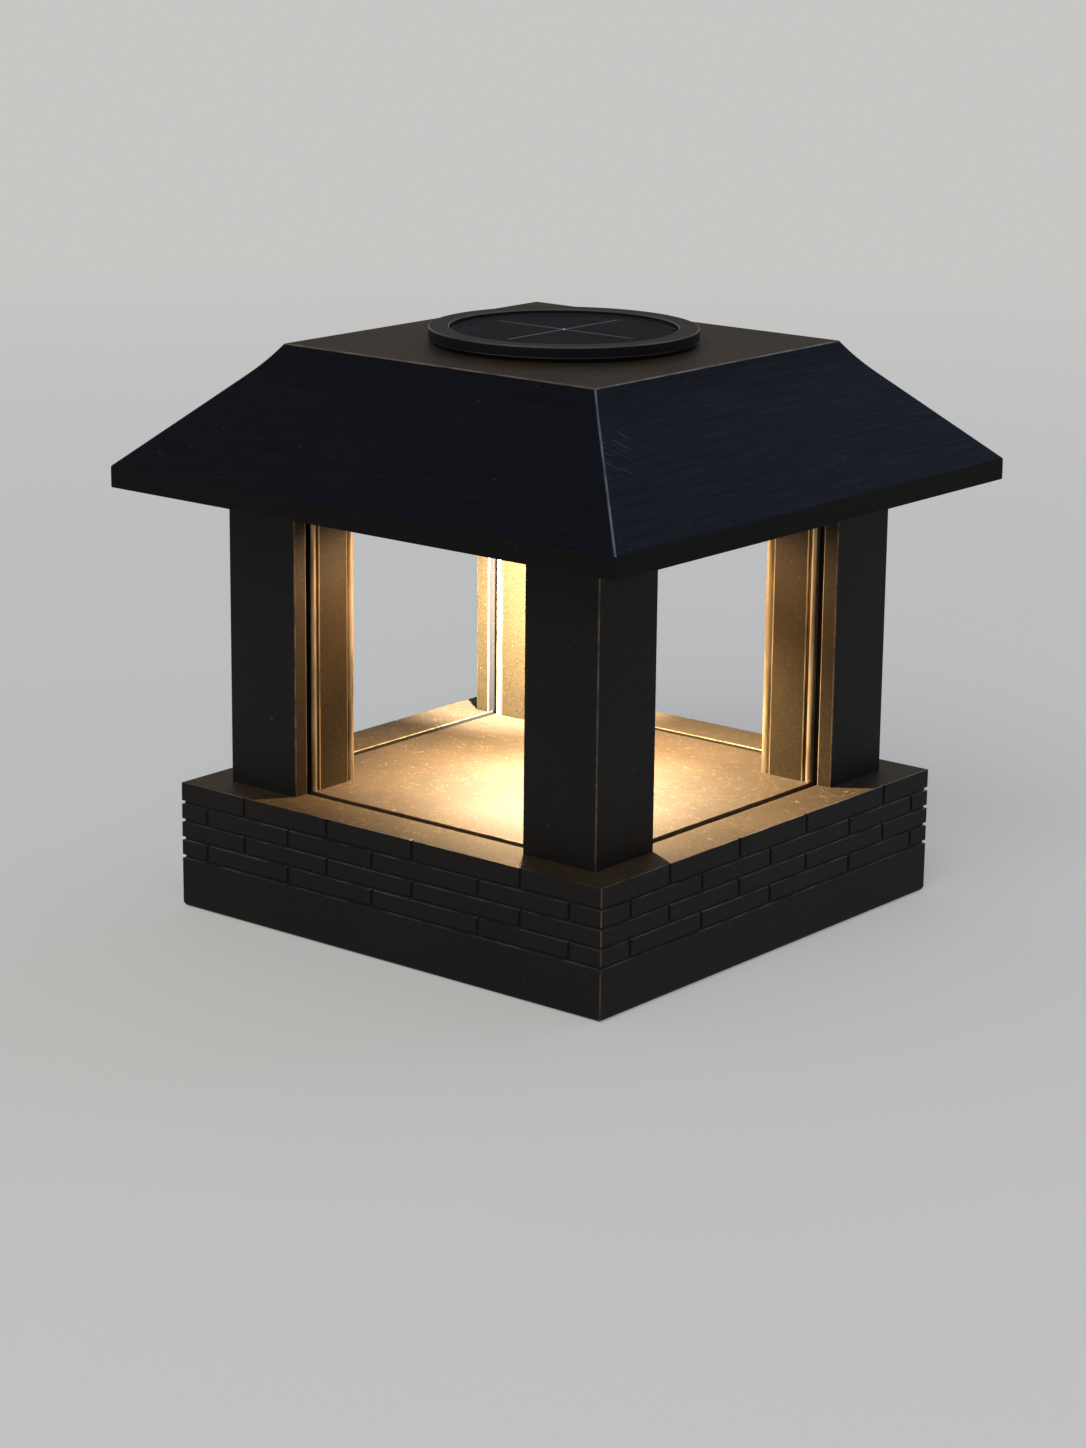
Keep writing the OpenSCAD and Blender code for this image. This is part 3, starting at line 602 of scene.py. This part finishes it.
zinc = finish("zinc_plate", steel)
pan_screw = screw_tree()


def screws(node, body, places, seat_z, length, shank_r, head_r, head_h, pitch, points_down=False):
    """The screws of one CAD node, at these places, with their heads' seats at seat_z. All their
    sizes are in mm."""
    seats = bpy.data.meshes.new(node + "_seats")
    seats.from_pydata([(x * MM, y * MM, seat_z * MM) for x, y in places], [], [])
    piece = grown(node + "_made", seats, pan_screw, {
        "Shank radius": shank_r * MM, "Head radius": head_r * MM, "Head height": head_h * MM,
        "Length": length * MM, "Pitch": pitch * MM, "Turn": (pi if points_down else 0, 0, 0),
        "Finish": zinc})
    fit(piece, body, "screw_steel", node)


def four(distance):
    """The four corners of a square with this half width."""
    return [(sx * distance, sy * distance) for sx in (-1, 1) for sy in (-1, 1)]


PILLAR_MID = 47.75
ROOF_SCREW_AT = 66.0
FRAME_SCREW = {"shank_r": 1.6, "head_r": 3.2, "head_h": 2.0, "pitch": 1.3}
screws("pillar_bottom_screws", "lantern_frame", four(PILLAR_MID),
       seat_z=29.0, length=17.6, **FRAME_SCREW)
screws("pillar_top_screws", "lantern_frame", four(PILLAR_MID),
       seat_z=113.0, length=16.4, points_down=True, **FRAME_SCREW)
screws("roof_screws", "lantern_frame", four(ROOF_SCREW_AT),
       seat_z=110.6, length=8.0, **FRAME_SCREW)

# The ceiling panel is a flat coated casting on the pillars' heads, with an upright guide ring that
# the light module slides through.
dressed("ceiling_panel", "lantern_frame", "coated_metal", [black_coat, rubbed_edge_and_highlight], 0.3 * MM)

# The roof is one hollow casting: an upright fascia, four hipped slopes that steepen towards the
# flat top, and a round hole for the module. Each slope is brushed lengthwise before it is coated.
ROOF_ARRIS = 0.3 * MM
EAVE_LINE_Z = 114.0 * MM
ROOF_TOP_Z = 144.2 * MM
FLAT_FROM_Z = ROOF_TOP_Z - 0.1 * MM
STREAK_DRAWN_OUT = 0.024

# A few scratches: their slant, their length and width, and how high and how far from a hip they lie.
SCRATCH_SLANT = radians(-38)
SCRATCH_SIZE = (1, 6 * MM, 0.5 * MM)
SCRATCHED_Z = (127 * MM, 134 * MM)
SCRATCHED_OUT = (0.8 * MM, 8 * MM)


def roof_strokes(place):
    """Level streaks of the brush on the slopes and fascia, and hand strokes on the flat top."""
    x, y, z = place.axis(0), place.axis(1), place.axis(2)
    on_side = abs(x) > abs(y)
    along = x + on_side * (y - x)
    flat = place.node("ShaderNodeCombineXYZ", {}, {
        0: along * STREAK_DRAWN_OUT, 1: on_side, 2: z})
    streaks = flat.noise(1700, 4.0, 0.75)
    return streaks + (z > FLAT_FROM_Z) * (hand_strokes(place) - streaks)


def roof_paint(place):
    """Black coat with a painted blue sky reflection on the slopes, painted warm light on the flat
    top in blotches, and a browner coat on the fascia. The scratches lie on the right slope, beside
    the front hip."""
    # The blue in the slopes' black and in their streaks is a painted sky reflection.
    sockets = coat(
        tone(9, 12, 20), tone(11, 12, 17), tone(20, 26, 40), roof_strokes, 0.08 * MM, 0.04)(place)
    x, y, z = place.axis(0), place.axis(1), place.axis(2)
    slanted = place.node("ShaderNodeMapping", {"vector_type": "TEXTURE"}, {
        "Vector": place, "Rotation": (SCRATCH_SLANT, 0, 0), "Scale": SCRATCH_SIZE})
    out = x + y
    beside_hip = out.between(SCRATCHED_OUT[1] + 3 * MM, SCRATCHED_OUT[1]) * (out > SCRATCHED_OUT[0])
    midway = z.between(SCRATCHED_Z[1] + 2 * MM, SCRATCHED_Z[1]) * (z > SCRATCHED_Z[0])
    marks = slanted.noise(1.0, 1.0, 0.5).between(0.6, 0.66)
    scratches = marks * beside_hip * (x > 0) * midway
    cloud = place.noise(60, 3.0, 0.6).between(0.3, 0.6)
    # The flat top's warm brown blotches are painted warm light.
    painted_top_light = (z > FLAT_FROM_Z) * (0.4 + 0.4 * cloud)
    fascia = (z < EAVE_LINE_Z) * 0.7
    sockets["Base Color"] = sockets["Base Color"].tint(painted_top_light, tone(52, 42, 30)).tint(
        fascia, tone(26, 23, 20)).tint(scratches * 0.5, tone(66, 70, 80))
    return sockets


def hip_sky_reflection(place):
    """The coat on the hips, with a painted blue-grey sky reflection along them."""
    sheen_patches = place.noise(120, 2.0, 0.6).between(0.3, 0.6)
    return {
        "Base Color": sheen_patches.tones((0.0, tone(48, 54, 68)), (1.0, tone(88, 98, 118))),
        "Metallic": 0.5,
        "Roughness": 0.44 - 0.08 * sheen_patches,
        "bump": (hand_strokes(place), 0.02 * MM),
    }


def roof_wear(face, on_edge):
    """Rubbed to the bronze with a painted highlight round the flat top, a painted sky reflection on
    the hips, and coated elsewhere.
    """
    x, y, z = (abs(v) for v in face.center)
    if not on_edge:
        return roof_coat_and_painted_light
    if z > ROOF_TOP_Z - 2 * ROOF_ARRIS:
        return rubbed_edge_and_highlight
    on_hip = z > EAVE_LINE_Z and abs(x - y) < 2 * ROOF_ARRIS
    return hip_reflection_edge if on_hip else roof_coat_and_painted_light


roof_coat_and_painted_light = finish("roof_coat_and_painted_light", roof_paint)
hip_reflection_edge = finish("hip_reflection_edge", hip_sky_reflection)
dressed("roof_shell", "lantern_frame", "coated_metal", [roof_coat_and_painted_light, rubbed_edge_and_highlight, hip_reflection_edge],
        ROOF_ARRIS, 3, roof_wear)

# The light module is a round housing of black plastic that drops through the roof. Its flange sits
# on a rubber ring, and the flat ring round its recess has a soft edge.
MODULE_ARRIS = 0.3 * MM


def moulded(name, dark, light, rough, depth=0.03 * MM, grains=2000):
    """Moulded plastic or rubber: two near tones, and the fine grain of the mould."""
    def paint(place):
        grain = place.noise(grains, 3.0, 0.6)
        return {
            "Base Color": place.noise(34, 3.0, 0.6).tones((0.35, dark), (0.65, light)),
            "Roughness": rough + 0.14 * grain,
            "Specular IOR Level": 0.04,
            "bump": (grain, depth),
        }
    return finish(name, paint)


seal_rubber = moulded("seal_rubber", tone(19, 19, 19), tone(25, 25, 25), 0.6)
black_plastic = moulded("black_plastic", tone(23, 23, 25), tone(28, 27, 28), 0.5)
# The pale grey on the housing's edges is a painted highlight.
ring_highlight_edge = moulded("ring_highlight_edge", tone(60, 58, 60), tone(98, 94, 94), 0.3, 0.01 * MM)
dressed("module_gasket", "light_module", "seal_rubber", [seal_rubber], 0.15 * MM)
dressed("module_housing", "light_module", "module_plastic", [black_plastic, ring_highlight_edge],
        MODULE_ARRIS, 3)
dressed("module_base", "light_module", "module_plastic", [black_plastic], 0.15 * MM)
BOSS_AT = 26.903
screws("module_screws", "light_module", arc(0, 0, BOSS_AT, 90, 330, 2),
       seat_z=109.4, length=9.0, shank_r=1.1, head_r=2.2, head_h=1.2, pitch=0.9)

# The solar cell is a thin round wafer of dark silicon in the recess of the housing.
FINGER_PITCH = 1.9 * MM
FINGER_HALF = 0.035


def wafer(place):
    """Dark blue-black silicon with a faint crystal pattern and finer silver fingers."""
    crystals = place.node("ShaderNodeTexVoronoi", {"feature": "F1"}, {
        "Vector": place, "Scale": 210.0}, "Color")
    crystal = place.node("ShaderNodeSeparateColor", {}, {0: crystals}, "Red")
    across = (place.axis(0) / FINGER_PITCH).math("FRACT")
    on_finger = abs(across - 0.5) < FINGER_HALF
    body = crystal.tones((0.0, tone(20, 21, 27)), (1.0, tone(26, 28, 35)))
    return {
        "Base Color": body.tint(on_finger * 0.22, tone(96, 98, 106)),
        "Roughness": 0.5 + 0.14 * place.noise(900, 2.0, 0.5),
        "Specular IOR Level": 0.2,
        "bump": (on_finger, 0.004 * MM),
    }


silicon = finish("silicon", wafer)
dressed("solar_cell", "light_module", "silicon", [silicon], 0.05 * MM)

# A smoky resin disc lies over the wafer, a little below the ring. Two thin silver lines cross on
# its face at right angles, with a dot where they meet.
COVER_TOP = 147.3
LINE_L = 43.0
LINE_W = 0.2
LINE_H = 0.03
LINE_TOP_W = 0.144
DOT_R = 0.34
DOT_H = 0.204
DOT_RINGS = 12
DOT_SIDES = 24


def resin(place):
    """Smoky resin with a satin skin."""
    skin = place.noise(2600, 2.0, 0.5)
    return {
        "Base Color": place.noise(40, 2.0, 0.5).tones(
            (0.3, tone(25, 26, 31)), (0.7, tone(31, 32, 39))),
        "Roughness": 0.6 + 0.14 * skin,
        "Specular IOR Level": 0.03,
        "Alpha": 0.65,
        "bump": (skin, 0.01 * MM),
    }


smoky_resin = finish("smoky_resin", resin)
dressed("cell_cover", "light_module", "cover_resin", [smoky_resin], 0.12 * MM)


def silvered(place):
    """Dull tinned silver of the bus bars."""
    grain = place.noise(1400, 2.0, 0.5)
    return {
        "Base Color": grain.tones((0.3, tone(122, 124, 130)), (0.7, tone(158, 160, 166))),
        "Metallic": 0.6,
        "Roughness": 0.36 + 0.16 * grain,
        "bump": (grain, 0.01 * MM),
    }


def tinned(place):
    """The bright point of tin where the lines meet."""
    grain = place.noise(3000, 1.0, 0.5)
    return {
        "Base Color": grain.tones((0.3, tone(208, 210, 214)), (0.7, tone(232, 233, 236))),
        "Roughness": 0.3 + 0.2 * grain,
    }


def line(shape, turn):
    """Adds one thin line across the disc to a shape. It narrows towards its top."""
    made = bmesh.ops.create_cube(shape, size=1)["verts"]
    for point in made:
        width = LINE_TOP_W if point.co.z > 0 else LINE_W
        point.co = Vector((
            point.co.x * LINE_L * MM, point.co.y * width * MM,
            (COVER_TOP + point.co.z * LINE_H) * MM))
    bmesh.ops.rotate(shape, verts=made, cent=(0, 0, 0), matrix=Matrix.Rotation(turn, 3, "Z"))


def dot(shape):
    """Adds the dot to a shape: rings of points from its top to its foot, with faces between."""
    rings = []
    for i in range(DOT_RINGS + 1):
        tilt = pi * i / DOT_RINGS
        at_pole = i in (0, DOT_RINGS)
        around = [(0, 0)] if at_pole else ring(0, 0, DOT_R * sin(tilt), DOT_SIDES)
        made = [shape.verts.new((x * MM, y * MM, (COVER_TOP + DOT_H * cos(tilt)) * MM))
                for x, y in around]
        rings.append(made * DOT_SIDES if at_pole else made)
    for upper, lower in zip(rings, rings[1:]):
        for i in range(DOT_SIDES):
            corners = (upper[i - 1], lower[i - 1], lower[i], upper[i])
            shape.faces.new(list(dict.fromkeys(corners)))


crossing = bmesh.new()
for turn in (0, pi / 2):
    line(crossing, turn)
line_faces = len(crossing.faces)
dot(crossing)
crossing_mesh = bpy.data.meshes.new("crossing_lines")
crossing.to_mesh(crossing_mesh)
crossing.free()
crossing_lines = piece_of("crossing_lines", crossing_mesh)
crossing_lines.data.materials.append(finish("tinned_silver", silvered))
crossing_lines.data.materials.append(finish("bright_dot", tinned))
for face in crossing_lines.data.polygons:
    face.material_index = int(face.index >= line_faces)
fit(crossing_lines, "light_module", "contact_nickel")

# The lens is a domed plug of warm milky plastic in the module's base, under the chromed reflector
# and the light source on the board. It is what lights the deck.
LENS_Y = -6.6 * MM
LENS_GLOW_Z = 107.5 * MM
LENS_GLOW_R = 8.0 * MM


def milky(place):
    """Milky plastic lit from behind, brighter in the middle."""
    swirl = place.noise(500, 2.0, 0.5)
    off_middle = place.node("ShaderNodeVectorMath", {"operation": "DISTANCE"}, {
        0: place, 1: (0, LENS_Y, LENS_GLOW_Z)}, "Value")
    glow = off_middle.between(LENS_GLOW_R, 0.0)
    return {
        "Base Color": swirl.tones((0.3, tone(250, 222, 170)), (0.7, tone(255, 232, 190))),
        "Roughness": 0.26 + 0.1 * swirl,
        "Emission Color": glow.tones((0.0, tone(255, 196, 116)), (1.0, tone(255, 226, 168))),
        "Emission Strength": 3.0,
        "bump": (swirl, 0.02 * MM),
    }


def chromed(place):
    """Vacuum-plated mirror finish on the reflector's funnel, with the mould's faint ripple."""
    ripple = place.noise(260, 2.0, 0.5)
    return {
        "Base Color": ripple.tones((0.3, tone(206, 207, 210)), (0.7, tone(224, 224, 226))),
        "Metallic": 1.0,
        "Roughness": 0.07 + 0.1 * ripple,
        "bump": (ripple, 0.01 * MM),
    }


def phosphor(place):
    """Yellow phosphor in silicone over the diode."""
    grain = place.noise(3000, 2.0, 0.5)
    return {
        "Base Color": grain.tones((0.3, tone(226, 190, 70)), (0.7, tone(240, 212, 96))),
        "Roughness": 0.5 + 0.12 * grain,
        "Emission Color": grain.tones((0.3, tone(255, 206, 128)), (0.7, tone(255, 220, 150))),
        "Emission Strength": 2.0,
        "bump": (grain, 0.02 * MM),
    }


dressed("lens", "light_module", "lens_plastic", [finish("milky_lens", milky)], 0.1 * MM)
dressed("reflector", "light_module", "mirror_plating", [finish("chromed", chromed)], 0.08 * MM)
dressed("led", "light_module", "led_phosphor", [finish("phosphor", phosphor)], 0.12 * MM)

# The circuit board is glass epoxy under a green mask, screwed to two posts. It carries the driver
# chip, the wound coil, the light source below it and the switch's contacts.


def masked_board(place):
    """Green solder mask, lighter over the copper tracks, which run in steps across the board."""
    cells = place.node("ShaderNodeTexVoronoi", {"feature": "F1", "distance": "MANHATTAN"}, {
        "Vector": place.stretch(420, 420, 0), "Scale": 1.0})
    tracks = cells.math("FRACT").between(0.16, 0.2) * (1 - cells.between(0.3, 0.34))
    weave = place.stretch(1, 1, 0).noise(2400, 1.0, 0.5)
    body = weave.tones((0.3, tone(16, 72, 44)), (0.7, tone(22, 84, 52)))
    return {
        "Base Color": body.tint(tracks * 0.8, tone(44, 122, 74)),
        "Roughness": 0.3 + 0.12 * weave,
        "bump": (tracks, 0.03 * MM),
    }


dressed("circuit_board", "light_module", "board_green", [finish("solder_mask", masked_board)],
        0.08 * MM)
screws("board_screws", "light_module", [(-14.6, -16.8), (14.6, -16.8)], points_down=True,
       seat_z=116.6, length=4.6, shank_r=0.8, head_r=1.7, head_h=1.0, pitch=0.7)
chip_black = moulded("chip_black", tone(30, 30, 31), tone(37, 37, 38), 0.5, 0.02 * MM, 3200)
ferrite = moulded("ferrite", tone(58, 58, 60), tone(72, 72, 74), 0.55, 0.03 * MM, 2600)
dressed("driver_chip", "light_module", "chip_black", [chip_black], 0.05 * MM)
dressed("coil", "light_module", "ferrite", [ferrite], 0.08 * MM)

# The slide switch has a black body behind the base, and an ivory slider with three grip grooves
# that stands out through a slot in front of the lens.
ivory = moulded("ivory", tone(206, 204, 195), tone(219, 217, 209), 0.4)
dressed("switch_body", "light_module", "module_plastic", [black_plastic], 0.1 * MM)
dressed("switch_slider", "power_switch", "slider_plastic", [ivory], 0.1 * MM)

# One rechargeable AAA cell lies along X in its tray: a steel can in a green sleeve with a silver
# band at the plain end, and a bare rim and nub at the other.
BATTERY_END = 22.25 * MM
BAND_W = 9 * MM
BARE_W = 1.1 * MM


def sleeved(place):
    """Shrunk sleeve, silver over the plain end's last part, bare steel at both ends."""
    x = place.axis(0)
    band = x < BAND_W - BATTERY_END
    bare = abs(x) > BATTERY_END - BARE_W
    skin = place.noise(800, 2.0, 0.5)
    body = skin.tones((0.3, tone(34, 98, 60)), (0.7, tone(42, 112, 70)))
    return {
        "Base Color": body.tint(band, tone(176, 178, 182)).tint(bare, tone(196, 197, 200)),
        "Metallic": (band * 0.8).math("MAXIMUM", bare),
        "Roughness": 0.3 + 0.12 * skin,
        "bump": (skin, 0.01 * MM),
    }


dressed("battery", "light_module", "battery_sleeve", [finish("battery_sleeve", sleeved)], 0.3 * MM)

# Nickel-plated spring steel makes the contacts: a flat one with a wound spring for the plain end,
# and a plain flat one for the nub.
nickel = finish("nickel", steel)
dressed("battery_spring", "light_module", "contact_nickel", [nickel], 0.0)
dressed("battery_plate", "light_module", "contact_nickel", [nickel], 0.05 * MM)

# The battery door is a flat black lid, flush with the base, with a hinge barrel moulded on one end.
battery_door = dressed(
    "battery_door", "battery_hatch", "module_plastic", [black_plastic], 0.12 * MM)

# Insulated copper leads join the wafer to the board, in red, and the contacts to it, in black.
red_sleeve = moulded("red_sleeve", tone(132, 28, 24), tone(152, 36, 30), 0.4)
black_sleeve = moulded("black_sleeve", tone(26, 26, 27), tone(34, 34, 35), 0.4)
dressed("cell_leads", "light_module", "lead_sleeve", [red_sleeve], 0.0)
dressed("battery_leads", "light_module", "lead_sleeve", [black_sleeve], 0.0)

# The camera stands where the photograph was taken from, a little above the eaves.
EYE = (553.2, -685.6, 281.75)
YAW, PITCH, ROLL = radians(129.17), radians(-14.97), radians(0.60)
FOCUS_PX = 3581
PHOTO_H_PX = 1448
FILM_W = 36
ahead = Vector((cos(PITCH) * cos(YAW), cos(PITCH) * sin(YAW), sin(PITCH)))
level = ahead.cross(Vector((0, 0, 1))).normalized()
upright = level.cross(ahead)
right = level * cos(ROLL) + upright * sin(ROLL)
up = upright * cos(ROLL) - level * sin(ROLL)
camera = piece_of("camera", bpy.data.cameras.new("camera"))
camera.matrix_world = Matrix((
    (right.x, up.x, -ahead.x, EYE[0] * MM),
    (right.y, up.y, -ahead.y, EYE[1] * MM),
    (right.z, up.z, -ahead.z, EYE[2] * MM),
    (0, 0, 0, 1)))
camera.data.sensor_width = FILM_W
camera.data.lens = FOCUS_PX / PHOTO_H_PX * FILM_W
camera.data.clip_start = 0.01
camera.data.clip_end = 60
bpy.context.scene.camera = camera

# The studio: a round pale floor that runs on into an evenly pale backdrop, in a softly lit room.
# From below, the floor lets the view through to the lantern's foot.
BACKDROP = tone(200, 199, 197)
FLOOR_R = 8
FLOOR_Z = -0.2 * MM
FLOOR_SIDES = 96


def seen(start):
    """1 for the rays that are looked along, straight or by way of metal or glass, and 0 for those
    that only carry light."""
    ways = ("Is Camera Ray", "Is Glossy Ray", "Is Transmission Ray")
    return sum(start.node("ShaderNodeLightPath", output=way) for way in ways).math("MINIMUM", 1.0)


floor_mesh = bpy.data.meshes.new("floor")
floor_mesh.from_pydata([(x, y, FLOOR_Z) for x, y in ring(0, 0, FLOOR_R, FLOOR_SIDES)], [],
                       [list(range(FLOOR_SIDES))])
floor = piece_of("floor", floor_mesh)
floor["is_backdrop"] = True
pale_floor = bpy.data.materials.new("pale_floor")
pale_floor.use_nodes = True
pale_floor.node_tree.nodes.clear()
floor.data.materials.append(pale_floor)
start = Wire(pale_floor.node_tree)
place = start.node("ShaderNodeTexCoord", output="Object")
near = start.node("ShaderNodeBsdfPrincipled", {}, {
    "Base Color": place.noise(3).tones((0.3, tone(234, 233, 230)), (0.7, tone(239, 238, 235))),
    "Roughness": 0.85})
far = start.node("ShaderNodeEmission", {}, {"Color": BACKDROP, "Strength": 1.0})
away = place.node("ShaderNodeVectorMath", {"operation": "LENGTH"}, {0: place}, "Value")
fade = 0.4 + 0.6 * away.between(0.2, 1.2)
ground = start.node("ShaderNodeMixShader", {}, {0: fade * seen(start), 1: near, 2: far})
under = start.node("ShaderNodeNewGeometry", output="Backfacing")
clear = start.node("ShaderNodeBsdfTransparent")
start.node("ShaderNodeOutputMaterial", {}, {
    0: start.node("ShaderNodeMixShader", {}, {0: under, 1: ground, 2: clear})})

world = bpy.data.worlds.new("studio")
world.use_nodes = True
world.node_tree.nodes.clear()
start = Wire(world.node_tree)
soft = start.node("ShaderNodeBackground", {}, {"Color": tone(205, 206, 209), "Strength": 0.45})
shown = start.node("ShaderNodeBackground", {}, {"Color": BACKDROP, "Strength": 1.0})
start.node("ShaderNodeOutputWorld", {}, {
    0: start.node("ShaderNodeMixShader", {}, {0: seen(start), 1: soft, 2: shown})})
bpy.context.scene.world = world


def lamp(name, kind, power, colour, place, aim):
    """A lamp at a place, pointed at another."""
    made = piece_of(name, bpy.data.lights.new(name, kind))
    made.data.energy = power
    made.data.color = colour
    made.location = place
    made.rotation_euler = (Vector(aim) - made.location).to_track_quat("-Z", "Y").to_euler()
    return made


for name, power, size, colour, place in [
        ("front_softbox", 23, 1.4, (1, 0.99, 0.97), (0.5, -1.7, 1.9)),
        ("sky_softbox", 6.5, 1.3, (0.34, 0.58, 1), (0.3, 1.6, 1.35)),
        ("back_softbox", 0.9, 1.1, (1, 0.7, 0.42), (-1.5, 1.9, 0.95))]:
    lamp(name, "AREA", power, colour, place, (0, 0, 0.1)).data.size = size

# The warm light of the lens rides with the module and reaches the lantern alone: a white-hot pool
# on the deck, a weaker spill on the pillars, and a throw at the far pillar behind the deck. The
# battery door, which opens close beside the lamps, is left out of their light.
LENS_AT = (0, LENS_Y, 102.2 * MM)
lantern = bpy.data.collections.new("lantern")
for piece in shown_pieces():
    if piece != battery_door:
        lantern.objects.link(piece)
for name, power, angle, blend, colour, aim in [
        ("lens_core", 2.7, 68, 1.0, (0.55, 0.84, 1), (0.012, -0.008, 0)),
        ("lens_pool", 6.6, 112, 1.0, (1, 0.79, 0.5), (0.01, 0.008, 0)),
        ("lens_spill", 1.1, 180, 0.3, (1, 0.64, 0.33), (0, LENS_Y, 0)),
        ("lens_throw", 30, 58, 1.0, (1, 0.9, 0.76), (-0.042, 0.042, 0.062))]:
    glow = lamp(name, "SPOT", power, colour, LENS_AT, aim)
    glow.data.spot_size = radians(angle)
    glow.data.spot_blend = blend
    glow.data.shadow_soft_size = 3 * MM
    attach(glow, "light_module")
    glow.light_linking.receiver_collection = lantern

bpy.context.scene.view_settings.view_transform = "Standard"
